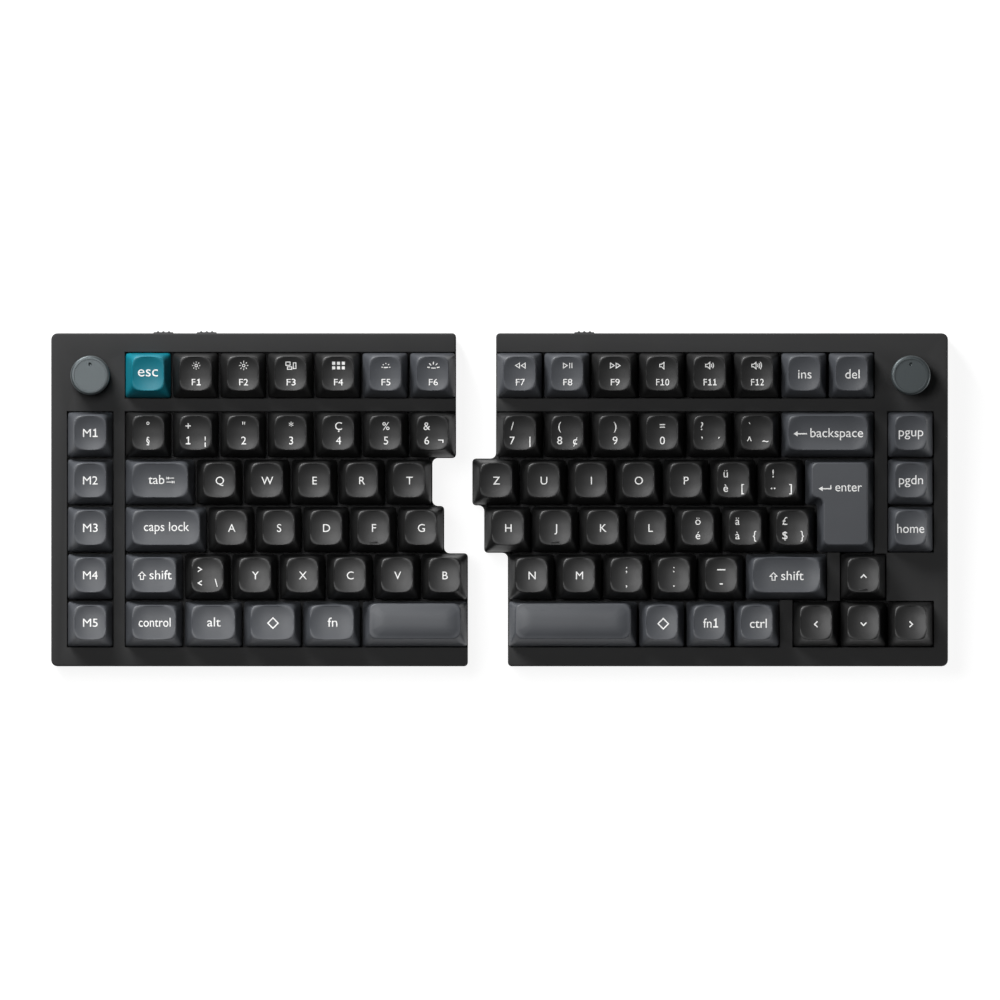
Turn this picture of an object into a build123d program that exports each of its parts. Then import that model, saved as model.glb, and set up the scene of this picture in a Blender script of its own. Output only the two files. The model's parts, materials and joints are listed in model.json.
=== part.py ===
from build123d import *
from dataclasses import dataclass
import math
import os

# Split keyboard in two wedge-shaped halves. Millimetres, +X to the typist's right, +Y away from the typist,
# +Z up. The origin lies on the desk, below the middle of the two halves as they stand side by side.
# Most pieces are drawn in the deck plane, which is parallel to the sloping top of the case. A level is a
# height above the top of the switch plate, measured square to the deck, and v runs along the deck to the rear.

# Key grid, in which a share is a number of key pitches
key_pitch = 19.05
cap_gap = 0.95
row_shares = (0, 1.25, 2.25, 3.25, 4.25, 5.25)
right_end_share = 16.25

# Case outline
typing_angle = 5.2
front_height = 20.5
left_bezel = 6.2
right_bezel = 5.5
rear_bezel = 7.4
front_bezel = 7.4
macro_gap = 4.2
half_gap = 15.9
inner_edge_inset = 0.1
outer_corner_radius = 2.5
inner_corner_radius = 1.5
notch_radius = 2.2
case_facets = 4
edge_chamfer = 0.5

# Levels and thicknesses of the case and of what it holds
case_top_level = 7.4
seam_level = -1.0
rim_level = 1.9
plate_thickness = 1.5
gasket_thickness = 1.0
board_level = -5.0
board_thickness = 1.6
floor_thickness = 2.4
foot_thickness = 1.6

# Widths of walls and ledges
rim_wall = 1.2
window_inset = 0.15
plate_reach = 2.0
board_reach = 0.2
gasket_width = 1.4
clearance = 0.3
overrun = 5.0
bridge_width = 2.4

# Key caps
cap_skirt_level = 6.4
cap_travel = 4.0
cap_height = 10.6
row_height_shares = (1, 1, 0.87, 0.81, 0.83, 0.87)
row_tilts = (6, 6, 4, 0, -3, -6)
cap_side_margin = 2.6
cap_rear_margin = 1.35
cap_front_margin = 2.75
cap_corner_radius = 3.4
cap_facets = 1
dish_depth = 0.6
dish_flat_share = 0.25
cap_wall = 1.4
pocket_depth = 7.0
pocket_taper = 16
enter_stem_share = 14.375
bar_length = 3.4
bar_width = 0.5
bar_height = 0.35
bar_edge_distance = 1.2
space_crown = 0.9
space_tilt = -2
space_rear_margin = 0.8
space_front_margin = 3.2

# Switches
housing_width = 13.9
housing_top_level = 6.6
housing_taper = 13
hole_width = 14.0
stem_width = 6.0
stem_depth = 5.0
stem_end_level = 2.5
well_floor_level = -2.2

# Rotary encoders and knobs
knob_radius = 7.9
knob_bottom_level = 8.2
knob_top_level = 18.0
knob_chamfer = 0.9
dimple_radius = 0.75
dimple_distance = 4.4
dimple_depth = 0.5
dimple_sides = 8
shaft_radius = 3.0
shaft_top_level = 16.0
shaft_flat_distance = 1.8
shaft_fit = 0.08
encoder_width = 12.0
encoder_top_level = 0.7
bushing_radius = 4.2
bushing_sides = 8
bushing_top_level = 6.9
plunger_width = 8.4
plunger_top_level = -1.3
plunger_thickness = 1.6
plunger_travel = 0.5
chamber_height = 3.0

# Slide switches in the rear wall
slider_width = 8.0
slider_height = 2.8
slider_proud = 0.9
slider_grip = 2.9
slider_ridge_pitch = 2.2
slider_ridge_radius = 0.6
slider_ridge_sides = 6
slider_neck_width = 4.0
slider_neck_height = 1.4
slider_neck_bite = 1.5
slider_step = 2.0
slide_body_width = 11.0
slide_body_height = 3.3
slide_body_depth = 3.6

# Cable sockets in the rear wall
socket_width = 8.94
socket_height = 3.2
socket_wall = 0.3
socket_length = 10.4
socket_corner = 1.0
socket_setback = 1.2
socket_tongue_width = 6.7
socket_tongue_height = 0.7
socket_tongue_setback = 1.0

# Case screws, rubber feet and batteries
screw_radius = 1.0
screw_head_radius = 1.9
screw_head_height = 1.8
screw_seat_level = -8.0
screw_top_level = 5.0
screw_edge_distance = 3.0
screw_side_distance = 9.0
screw_fit = 0.05
screw_sides = 8
foot_length = 30.0
foot_width = 8.0
foot_edge_distance = 8.0
foot_side_distance = 16.0
battery_length = 88.0
battery_depth = 42.0
battery_height = 5.0
battery_rear_shift = 16.0

# Places along the rear wall, from the outer side of each half
left_mode_slider_x = 45.0
left_system_slider_x = 62.4
left_outer_socket_x = 24.0
left_inner_socket_x = 140.0
right_power_slider_x = 146.1
right_inner_socket_x = 160.0

# Sizes worked out from the ones above
slope_sine = math.sin(math.radians(typing_angle))
slope_cosine = math.cos(math.radians(typing_angle))
key_field_depth = (row_shares[-1] + 1) * key_pitch
case_depth = key_field_depth + rear_bezel + front_bezel
half_depth = case_depth / 2
total_width = left_bezel + key_pitch + macro_gap + half_gap + right_end_share * key_pitch + right_bezel
left_outer_x = -total_width / 2
right_outer_x = total_width / 2
left_grid_x = left_outer_x + left_bezel + key_pitch + macro_gap
right_grid_x = left_grid_x + half_gap
macro_start_share = (left_outer_x + left_bezel - left_grid_x) / key_pitch
roof_level = gasket_thickness
ledge_level = -plate_thickness - gasket_thickness
board_bottom_level = board_level - board_thickness
floor_height = foot_thickness + floor_thickness
wedge_depth = front_height + case_depth * slope_sine

# The deck plane, set so that the front edge has its height and the object is centred over the origin
deck_height = front_height + half_depth * slope_sine - case_top_level * slope_cosine
front_lip_y = -half_depth * slope_cosine - (case_top_level - edge_chamfer) * slope_sine
rear_foot_level = (foot_thickness - deck_height - half_depth * slope_sine) / slope_cosine
rear_foot_y = half_depth * slope_cosine - rear_foot_level * slope_sine
deck_y = -(front_lip_y + rear_foot_y) / 2
deck = Plane(origin=(0, deck_y, deck_height), x_dir=(1, 0, 0), z_dir=(0, -slope_sine, slope_cosine))
deck_up = Axis(deck.origin, deck.z_dir)


@dataclass
class Half:
    """One half of the keyboard. side is 1 where the stepped inner edge faces +X and -1 where it faces -X."""

    name: str
    side: int
    outer_x: float
    bezel: float
    grid_x: float
    knob_share: float
    window_shares: tuple
    run_shares: dict
    sliders: tuple
    socket_xs: tuple
    bridges: tuple


# The inner edge of both halves steps in four bands, each ending at the front of a row
band_shares = (7, 6.5, 6.75, 7.25)
band_last_rows = (1, 2, 3)
widest_left_share = 7.25
widest_right_share = 6.5

# Key runs: for each group of keys, the row, the start and the width of every cap, in key pitches
left_run_shares = {
    "key_escape": ((0, 0, (1,)),),
    "keys_f1_to_f4": ((0, 1, (1, 1, 1, 1)),),
    "keys_f5_and_f6": ((0, 5, (1, 1)),),
    "keys_macro": tuple((row, macro_start_share, (1,)) for row in range(1, 6)),
    "keys_digits_left": ((1, 0, (1,) * 7),),
    "key_tab": ((2, 0, (1.5,)),),
    "keys_letters_q_to_t": ((2, 1.5, (1,) * 5),),
    "key_caps_lock": ((3, 0, (1.75,)),),
    "keys_letters_a_to_g": ((3, 1.75, (1,) * 5),),
    "key_shift_left": ((4, 0, (1.25,)),),
    "keys_letters_y_to_b": ((4, 1.25, (1,) * 6),),
    "keys_modifiers_left": ((5, 0, (1.25,) * 4),),
    "key_space_left": ((5, 5, (2.25,)),),
}
right_run_shares = {
    "keys_f7_and_f8": ((0, 7, (1, 1)),),
    "keys_f9_to_f12": ((0, 9, (1, 1, 1, 1)),),
    "keys_insert_delete": ((0, 13, (1, 1)),),
    "keys_digits_right": ((1, 7, (1,) * 6),),
    "key_backspace": ((1, 13, (2,)),),
    "keys_page_column": tuple((row, 15.25, (1,)) for row in range(1, 4)),
    "keys_letters_z_to_p": ((2, 6.5, (1,) * 7),),
    "key_enter": (),
    "keys_letters_h_to_l": ((3, 6.75, (1,) * 7),),
    "keys_letters_n_to_m": ((4, 7.25, (1,) * 5),),
    "key_shift_right": ((4, 12.25, (1.75,)),),
    "keys_modifiers_right": ((5, 10, (1, 1, 1)),),
    "key_space_right": ((5, 7.25, (2.75,)),),
    "keys_arrows": ((4, 14.25, (1,)), (5, 13.25, (1, 1, 1))),
}
spaces = ("key_space_left", "key_space_right")
homing_keys = {("keys_letters_a_to_g", 3), ("keys_letters_h_to_l", 1), ("keys_arrows", 0)}

# Windows in the top of the case: first row, last row, start and end in key pitches
beyond_share = 1
left_window_shares = (
    (0, 0, 0, widest_left_share + beyond_share),
    (1, 5, 0, widest_left_share + beyond_share),
    (1, 5, macro_start_share, macro_start_share + 1),
)
right_window_shares = (
    (0, 0, widest_right_share - beyond_share, 15),
    (1, 3, widest_right_share - beyond_share, 15),
    (4, 4, widest_right_share - beyond_share, 14),
    (4, 4, 14.25, 15.25),
    (5, 5, widest_right_share - beyond_share, 13),
    (5, 5, 13.25, 16.25),
    (1, 3, 15.25, 16.25),
)

# A bridge is a low bar below the caps, along the front of a row, that carries a bar of the top case
# with keys all round it. A slider is named with its place and with how far it can move to either side of it
left_half = Half(
    "left",
    1,
    left_outer_x,
    left_bezel,
    left_grid_x,
    macro_start_share + 1 / 2,
    left_window_shares,
    left_run_shares,
    (
        ("mode_slider", left_outer_x + left_mode_slider_x, -slider_step, slider_step),
        ("system_slider", left_outer_x + left_system_slider_x, 0, slider_step),
    ),
    (left_outer_x + left_outer_socket_x, left_outer_x + left_inner_socket_x),
    (),
)
right_half = Half(
    "right",
    -1,
    right_outer_x,
    right_bezel,
    right_grid_x,
    right_end_share - 1 / 2,
    right_window_shares,
    right_run_shares,
    (("power_slider", right_outer_x - right_power_slider_x, 0, slider_step),),
    (right_outer_x - right_inner_socket_x,),
    ((4, 14, 15.5),),
)
halves = (left_half, right_half)


def row_v(row):
    """Middle of a row of keys along the deck."""
    return half_depth - rear_bezel - key_pitch / 2 - row_shares[row] * key_pitch


def grid_x(half, share):
    """X of a place on the key grid of one half."""
    return half.grid_x + share * key_pitch


def run_centres(half, run):
    """Centres of the keys of one run, in the deck plane, each with its width in key pitches and its row."""
    row, start, widths = run
    centres = []
    for width in widths:
        centres.append((grid_x(half, start + width / 2), row_v(row), width, row))
        start += width
    return centres


def key_centres(half):
    """Places of all the switches of one half in the deck plane."""
    places = []
    for runs in half.run_shares.values():
        for run in runs:
            places += [(x, v) for x, v, width, row in run_centres(half, run)]
    if "key_enter" in half.run_shares:
        places.append((grid_x(half, enter_stem_share), (row_v(2) + row_v(3)) / 2))
    return places


def stepped_points(half, outer, rear, front, inner_inset):
    """Corners of a half's plan shape: three straight outer sides and the stepped inner edge, drawn in by an inset."""
    xs = [grid_x(half, share) - half.side * inner_inset for share in band_shares]
    points = [(outer, front), (xs[3], front)]
    for band in (2, 1, 0):
        boundary = row_v(band_last_rows[band]) - key_pitch / 2
        front_is_wider = half.side * (xs[band + 1] - xs[band]) > 0
        v = boundary - inner_inset if front_is_wider else boundary + inner_inset
        points += [(xs[band + 1], v), (xs[band], v)]
    return points + [(xs[0], rear), (outer, rear)]


def rounded_points(points, radii):
    """Corners of an outline, each rounded to its radius by a few flats."""
    rounded = []
    for index, corner in enumerate(points):
        corner = Vector(*corner)
        before = (Vector(*points[index - 1]) - corner).normalized()
        after = (Vector(*points[(index + 1) % len(points)]) - corner).normalized()
        centre = corner + (before + after) * radii[index]
        for facet in range(case_facets + 1):
            angle = math.pi / 2 * facet / case_facets
            rounded.append(centre - (after * math.cos(angle) + before * math.sin(angle)) * radii[index])
    return rounded


def case_outline(half):
    """Outline of the case, with its rounded corners."""
    points = stepped_points(half, half.outer_x, half_depth, -half_depth, inner_edge_inset)
    radii = [outer_corner_radius, inner_corner_radius]
    for band in (2, 1, 0):
        front_is_wider = half.side * (band_shares[band + 1] - band_shares[band]) > 0
        step = [inner_corner_radius, notch_radius]
        radii += step if front_is_wider else step[::-1]
    radii += [inner_corner_radius, outer_corner_radius]
    with BuildSketch() as outline:
        with BuildLine():
            Polyline(*rounded_points(points, radii), close=True)
        make_face()
    return outline.sketch


def inner_shape(half, inner_inset, reach):
    """Shape that reaches past the key field on the three outer sides and stays inside the inner edge."""
    outer = half.outer_x + half.side * (half.bezel - reach)
    rear = half_depth - rear_bezel + reach
    front = -half_depth + front_bezel - reach
    with BuildSketch() as shape:
        with BuildLine():
            Polyline(*stepped_points(half, outer, rear, front, inner_inset), close=True)
        make_face()
    return shape.sketch


def window_shape(half):
    """Key windows, each a little smaller than the key cells it goes round."""
    with BuildSketch() as windows:
        for first_row, last_row, start, end in half.window_shares:
            rear = row_v(first_row) + key_pitch / 2
            front = row_v(last_row) - key_pitch / 2
            with Locations((grid_x(half, (start + end) / 2), (rear + front) / 2)):
                Rectangle((end - start) * key_pitch, rear - front)
        offset(amount=-window_inset, kind=Kind.INTERSECTION)
    return windows.sketch


def bridge_shape(half):
    """Low bars across the key windows, each from one side of a window to the other."""
    with BuildSketch() as bridges:
        for row, start, end in half.bridges:
            with Locations((grid_x(half, (start + end) / 2), row_v(row) - key_pitch / 2)):
                Rectangle((end - start) * key_pitch, bridge_width)
    return bridges.sketch


def screw_places(half):
    """Places of the four case screws in the deck plane."""
    inner_rear_x = grid_x(half, band_shares[0]) - half.side * screw_side_distance
    inner_front_x = grid_x(half, band_shares[-1]) - half.side * screw_side_distance
    outer_x = half.outer_x + half.side * screw_side_distance
    rear = half_depth - screw_edge_distance
    return [(outer_x, rear), (inner_rear_x, rear), (outer_x, -rear), (inner_front_x, -rear)]


def knob_place(half):
    """Place of the knob in the deck plane."""
    return (grid_x(half, half.knob_share), row_v(0))


def slot_plane(level):
    """Plane square to the deck along the rear wall, at a level, with its normal out of the rear."""
    origin = deck.from_local_coords(Vector(0, half_depth, level))
    return Plane(origin=origin, x_dir=(-1, 0, 0), z_dir=(0, slope_cosine, slope_sine))


wall_fitting_level = board_bottom_level - slide_body_height / 2
socket_level = board_bottom_level - socket_height / 2
board_edge_setback = rear_bezel - board_reach


def finish(builder, name):
    """Label a finished piece and write its file."""
    builder.part.label = name
    export_step(builder.part, f"parts/{name}.step")


def make_top_case(half):
    """Upper shell: bezel and bars round the key windows, with a low rim along the inner edge."""
    with BuildPart() as top_case:
        with BuildSketch(deck.offset(seam_level)):
            add(case_outline(half))
        extrude(amount=case_top_level - seam_level)
        chamfer(top_case.faces().sort_by(deck_up)[-1].edges(), edge_chamfer)
        with BuildSketch(deck.offset(seam_level)):
            add(inner_shape(half, rim_wall, plate_reach + clearance))
        extrude(amount=roof_level - seam_level, mode=Mode.SUBTRACT)
        with BuildSketch(deck.offset(roof_level)):
            add(window_shape(half))
            add(inner_shape(half, rim_wall, plate_reach), mode=Mode.INTERSECT)
            if half.bridges:
                add(bridge_shape(half), mode=Mode.SUBTRACT)
        extrude(amount=rim_level - roof_level, mode=Mode.SUBTRACT)
        with BuildSketch(deck.offset(rim_level)):
            add(window_shape(half))
        extrude(amount=case_top_level - rim_level + overrun, mode=Mode.SUBTRACT)
        with BuildSketch(deck.offset(roof_level)):
            with Locations(knob_place(half)):
                RegularPolygon(bushing_radius + clearance, bushing_sides)
        extrude(amount=case_top_level - roof_level, mode=Mode.SUBTRACT)
        with BuildSketch(deck.offset(seam_level)):
            with Locations(*screw_places(half)):
                RegularPolygon(screw_radius + screw_fit, screw_sides)
        extrude(amount=screw_top_level + clearance - seam_level, mode=Mode.SUBTRACT)
    finish(top_case, f"{half.name}_top_case")


def make_cavity(half):
    """Space inside the lower shell, down to a floor that is parallel to the desk."""
    with BuildPart() as cavity:
        with BuildSketch(deck.offset(seam_level)):
            add(inner_shape(half, rim_wall, board_reach + clearance))
        extrude(amount=-wedge_depth)
        split(bisect_by=Plane.XY.offset(floor_height), keep=Keep.TOP)
    return cavity.part


def make_bottom_case(half):
    """Lower shell: a wedge with a level underside, a gasket ledge, and slots for the fittings in its rear wall."""
    cavity = make_cavity(half)
    with BuildPart() as bottom_case:
        with BuildSketch(deck.offset(seam_level)):
            add(case_outline(half))
        extrude(amount=-wedge_depth)
        split(bisect_by=Plane.XY.offset(foot_thickness), keep=Keep.TOP)
        add(cavity, mode=Mode.SUBTRACT)
        with BuildSketch(deck.offset(seam_level)):
            add(inner_shape(half, rim_wall, plate_reach + clearance))
        extrude(amount=ledge_level - seam_level, mode=Mode.SUBTRACT)
        with BuildSketch(deck.offset(seam_level)):
            with Locations(*screw_places(half)):
                RegularPolygon(screw_radius + clearance, screw_sides)
        extrude(amount=-wedge_depth, mode=Mode.SUBTRACT)
        with BuildSketch(deck.offset(screw_seat_level)):
            with Locations(*screw_places(half)):
                RegularPolygon(screw_head_radius + clearance, screw_sides)
        extrude(amount=-wedge_depth, mode=Mode.SUBTRACT)
        for name, x, low, high in half.sliders:
            with BuildSketch(slot_plane(wall_fitting_level)):
                with Locations((-x - (low + high) / 2, 0)):
                    Rectangle(slider_width + high - low + 2 * clearance, slider_height + 2 * clearance)
            extrude(amount=-rear_bezel, mode=Mode.SUBTRACT)
        with BuildSketch(slot_plane(socket_level)):
            with Locations(*[(-x, 0) for x in half.socket_xs]):
                mouth = Rectangle(socket_width + 2 * clearance, socket_height + 2 * clearance)
            chamfer(mouth.vertices(), socket_corner)
        extrude(amount=-rear_bezel, mode=Mode.SUBTRACT)
    finish(bottom_case, f"{half.name}_bottom_case")


def make_switch_plate(half):
    """Sheet steel plate that holds the switches, with a square hole for each and one for the encoder."""
    with BuildPart() as switch_plate:
        with BuildSketch(deck.offset(-plate_thickness)):
            add(inner_shape(half, rim_wall + clearance, plate_reach))
            with Locations(*key_centres(half), knob_place(half)):
                Rectangle(hole_width, hole_width, mode=Mode.SUBTRACT)
        extrude(amount=plate_thickness)
    finish(switch_plate, f"{half.name}_switch_plate")


def make_circuit_board(half):
    """Circuit board below the plate, which the switches and the encoder stand on."""
    with BuildPart() as circuit_board:
        with BuildSketch(deck.offset(board_level)):
            add(inner_shape(half, rim_wall + clearance, board_reach))
        extrude(amount=-board_thickness)
    finish(circuit_board, f"{half.name}_circuit_board")


def make_switch_housings(half):
    """Switch bodies, each standing on the board and held in its plate hole, with a well for its stem."""
    with BuildPart() as switch_housings:
        with BuildSketch(deck.offset(board_level)):
            with Locations(*key_centres(half)):
                Rectangle(housing_width, housing_width)
        extrude(amount=-board_level)
        with BuildSketch(deck):
            with Locations(*key_centres(half)):
                Rectangle(housing_width, housing_width)
        extrude(amount=housing_top_level, taper=housing_taper)
        with BuildSketch(deck.offset(housing_top_level)):
            with Locations(*key_centres(half)):
                Rectangle(stem_width + 2 * clearance, stem_depth + 2 * clearance)
        extrude(amount=well_floor_level - housing_top_level, mode=Mode.SUBTRACT)
    finish(switch_housings, f"{half.name}_switch_housings")


def make_gasket_strips(half):
    """Foam strips above and below the edge of the plate, in pairs along the three outer sides."""
    reach = plate_reach - gasket_width / 2
    outer = half.outer_x + half.side * (half.bezel - reach)
    inner = grid_x(half, band_shares[0])
    rear = half_depth - rear_bezel + reach
    front = -half_depth + front_bezel - reach
    strip_length = 2 * key_pitch
    third = (inner - outer) / 3
    with BuildPart() as gasket_strips:
        for level in (-plate_thickness - gasket_thickness, 0):
            with BuildSketch(deck.offset(level)):
                with Locations(*[(outer + step * third, v) for step in (1, 2) for v in (rear, front)]):
                    Rectangle(strip_length, gasket_width)
                with Locations((outer, 0)):
                    Rectangle(gasket_width, strip_length)
            extrude(amount=gasket_thickness)
    finish(gasket_strips, f"{half.name}_gasket_strips")


def make_case_screws(half):
    """Four countersunk-from-below screws that join the shells."""
    with BuildPart() as case_screws:
        with BuildSketch(deck.offset(screw_seat_level)):
            with Locations(*screw_places(half)):
                RegularPolygon(screw_radius, screw_sides)
        extrude(amount=screw_top_level - screw_seat_level)
        with BuildSketch(deck.offset(screw_seat_level)):
            with Locations(*screw_places(half)):
                RegularPolygon(screw_head_radius, screw_sides)
        extrude(amount=-screw_head_height)
    finish(case_screws, f"{half.name}_case_screws")


def make_rubber_feet(half):
    """Four rubber feet under the lower shell."""
    outer = half.outer_x + half.side * (foot_side_distance + foot_length / 2)
    rear_inner = grid_x(half, band_shares[0]) - half.side * (foot_side_distance + foot_length / 2)
    front_inner = grid_x(half, band_shares[-1]) - half.side * (foot_side_distance + foot_length / 2)
    rear = deck_y + rear_foot_y - foot_edge_distance
    front = deck_y - half_depth * slope_cosine + foot_edge_distance
    with BuildPart() as rubber_feet:
        with BuildSketch(Plane.XY):
            with Locations((outer, rear), (rear_inner, rear), (outer, front), (front_inner, front)):
                Rectangle(foot_length, foot_width)
        extrude(amount=foot_thickness)
    finish(rubber_feet, f"{half.name}_rubber_feet")


def make_battery(half):
    """Flat battery pack on the floor of the lower shell."""
    middle_x = (half.outer_x + grid_x(half, band_shares[0])) / 2
    with BuildPart() as battery:
        with BuildSketch(Plane.XY.offset(floor_height)):
            with Locations((middle_x, battery_rear_shift)):
                Rectangle(battery_length, battery_depth)
        extrude(amount=battery_height)
    finish(battery, f"{half.name}_battery")


def make_encoder(half):
    """Encoder body and bushing, the plunger inside it, the shaft that turns on the plunger, and the knob."""
    place = knob_place(half)
    with BuildPart() as encoder_body:
        with BuildSketch(deck.offset(board_level)):
            with Locations(place):
                Rectangle(encoder_width, encoder_width)
        extrude(amount=encoder_top_level - board_level)
        with BuildSketch(deck.offset(encoder_top_level)):
            with Locations(place):
                RegularPolygon(bushing_radius, bushing_sides)
        extrude(amount=bushing_top_level - encoder_top_level)
        with BuildSketch(deck.offset(plunger_top_level + shaft_fit)):
            with Locations(place):
                Rectangle(plunger_width + 2 * clearance, plunger_width + 2 * clearance)
        extrude(amount=-chamber_height, mode=Mode.SUBTRACT)
        with BuildSketch(deck.offset(plunger_top_level)):
            with Locations(place):
                Circle(shaft_radius + shaft_fit)
        extrude(amount=bushing_top_level - plunger_top_level, mode=Mode.SUBTRACT)
    finish(encoder_body, f"{half.name}_encoder_body")

    with BuildPart() as encoder_plunger:
        with BuildSketch(deck.offset(plunger_top_level)):
            with Locations(place):
                Rectangle(plunger_width, plunger_width)
        extrude(amount=-plunger_thickness)
    finish(encoder_plunger, f"{half.name}_encoder_plunger")

    flat_middle = (place[0], place[1] + shaft_flat_distance + shaft_radius)
    with BuildPart() as encoder_shaft:
        with BuildSketch(deck.offset(plunger_top_level)):
            with Locations(place):
                Circle(shaft_radius)
        extrude(amount=shaft_top_level - plunger_top_level)
        with BuildSketch(deck.offset(knob_bottom_level)):
            with Locations(flat_middle):
                Rectangle(2 * shaft_radius, 2 * shaft_radius)
        extrude(amount=shaft_top_level - knob_bottom_level, mode=Mode.SUBTRACT)
    finish(encoder_shaft, f"{half.name}_encoder_shaft")

    with BuildPart() as knob:
        with BuildSketch(deck.offset(knob_bottom_level)):
            with Locations(place):
                Circle(knob_radius)
        extrude(amount=knob_top_level - knob_bottom_level)
        chamfer(knob.faces().sort_by(deck_up)[-1].edges(), knob_chamfer)
        with BuildSketch(deck.offset(knob_top_level)):
            with Locations((place[0], place[1] + dimple_distance)):
                RegularPolygon(dimple_radius, dimple_sides)
        extrude(amount=-dimple_depth, mode=Mode.SUBTRACT)
        with BuildSketch(deck.offset(knob_bottom_level)):
            with Locations(place):
                Circle(shaft_radius)
            with Locations(flat_middle):
                Rectangle(2 * shaft_radius, 2 * shaft_radius, mode=Mode.SUBTRACT)
        extrude(amount=shaft_top_level - knob_bottom_level, mode=Mode.SUBTRACT)
    finish(knob, f"{half.name}_knob")


def make_slide_switches(half):
    """Slide switch bodies under the rear edge of the circuit board, each with a slot for its slider's neck."""
    with BuildPart() as slide_switch_bodies:
        for name, x, low, high in half.sliders:
            slot_x = -x - (low + high) / 2
            with BuildSketch(slot_plane(wall_fitting_level).offset(-board_edge_setback)):
                with Locations((slot_x, 0)):
                    Rectangle(slide_body_width + high - low, slide_body_height)
            extrude(amount=-slide_body_depth)
            with BuildSketch(slot_plane(wall_fitting_level).offset(-board_edge_setback)):
                with Locations((slot_x, 0)):
                    Rectangle(
                        slider_neck_width + high - low + 2 * clearance, slider_neck_height + 2 * clearance
                    )
            extrude(amount=-slider_neck_bite - clearance, mode=Mode.SUBTRACT)
    finish(slide_switch_bodies, f"{half.name}_slide_switch_bodies")


def make_slider(name, x):
    """Slider cap with three upright finger ridges, on a neck that reaches into its switch."""
    with BuildPart() as slider:
        with BuildSketch(slot_plane(wall_fitting_level).offset(-slider_grip)):
            with Locations((-x, 0)):
                Rectangle(slider_width, slider_height)
        extrude(amount=slider_grip + slider_proud - slider_ridge_radius)
        with BuildSketch(deck.offset(wall_fitting_level - slider_height / 2)):
            with Locations(*[(x + step * slider_ridge_pitch, half_depth + slider_proud - slider_ridge_radius)
                             for step in (-1, 0, 1)]):
                RegularPolygon(slider_ridge_radius, slider_ridge_sides)
        extrude(amount=slider_height)
        with BuildSketch(slot_plane(wall_fitting_level).offset(-slider_grip)):
            with Locations((-x, 0)):
                Rectangle(slider_neck_width, slider_neck_height)
        extrude(amount=slider_grip - board_edge_setback - slider_neck_bite)
    finish(slider, name)


def make_port_sockets(half):
    """Cable sockets under the rear edge of the circuit board, each a metal shell round a tongue."""
    with BuildPart() as port_sockets:
        with BuildSketch(slot_plane(socket_level).offset(-socket_setback)):
            with Locations(*[(-x, 0) for x in half.socket_xs]):
                shell = Rectangle(socket_width, socket_height)
            chamfer(shell.vertices(), socket_corner)
        extrude(amount=-socket_length)
        with BuildSketch(slot_plane(socket_level).offset(-socket_setback)):
            with Locations(*[(-x, 0) for x in half.socket_xs]):
                mouth = Rectangle(socket_width - 2 * socket_wall, socket_height - 2 * socket_wall)
            chamfer(mouth.vertices(), socket_corner)
        extrude(amount=-socket_length + socket_wall, mode=Mode.SUBTRACT)
        with BuildSketch(slot_plane(socket_level).offset(-socket_setback - socket_tongue_setback)):
            with Locations(*[(-x, 0) for x in half.socket_xs]):
                Rectangle(socket_tongue_width, socket_tongue_height)
        extrude(amount=-socket_length + socket_wall + socket_tongue_setback)
    finish(port_sockets, f"{half.name}_port_sockets")


def cap_blank_points(width, depth, height, blank_height, rear_margin, front_margin):
    """Corners of a cap's blank: sharp at the skirt, with each corner opening into a round one towards the top."""
    rise_share = blank_height / height
    radius = cap_corner_radius * rise_share
    points = [(sx * width / 2, sy * depth / 2, 0) for sx in (-1, 1) for sy in (-1, 1)]
    for sx in (-1, 1):
        for sy, margin in ((-1, front_margin), (1, rear_margin)):
            centre_x = width / 2 - cap_side_margin * rise_share - radius
            centre_y = depth / 2 - margin * rise_share - radius
            for facet in range(cap_facets + 1):
                angle = math.pi / 2 * facet / cap_facets
                x = centre_x + radius * math.cos(angle)
                y = centre_y + radius * math.sin(angle)
                points.append((sx * x, sy * y, blank_height))
    return points


def top_plane(height, tilt, shift):
    """Plane across a cap's top from side to side, with its Y square to the tilted top and its X along the row."""
    tilt_sine = math.sin(math.radians(tilt))
    tilt_cosine = math.cos(math.radians(tilt))
    return Plane(origin=(0, shift, height), x_dir=(1, 0, 0), z_dir=(0, -tilt_cosine, -tilt_sine))


def dish_cutter(width, height, tilt, shift, length):
    """What is cut from a cap to leave the hollow top that the fingertip rests in."""
    flat = width * dish_flat_share / 2
    rise = dish_depth * (width - flat) / (width / 2 - cap_side_margin - flat)
    corners = ((-width, rise), (-flat, 0), (flat, 0), (width, rise), (width, rise + height), (-width, rise + height))
    with BuildPart() as cutter:
        with BuildSketch(top_plane(height - dish_depth, tilt, shift)):
            with BuildLine():
                Polyline(*corners, close=True)
            make_face()
        extrude(amount=length, both=True)
    return cutter.part


def pocket_cutter(width, depth):
    """What is cut from a cap to hollow it out from below."""
    with BuildPart() as cutter:
        with BuildSketch(Plane.XY):
            Rectangle(width - 2 * cap_wall, depth - 2 * cap_wall)
        extrude(amount=pocket_depth, taper=pocket_taper)
    return cutter.part


def cap_stem():
    """Stem below a cap's top, which slides in the switch."""
    with BuildPart() as stem:
        with BuildSketch(Plane.XY.offset(stem_end_level - cap_skirt_level)):
            Rectangle(stem_width, stem_depth)
        extrude(amount=cap_skirt_level - stem_end_level + pocket_depth)
    return stem.part


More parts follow.
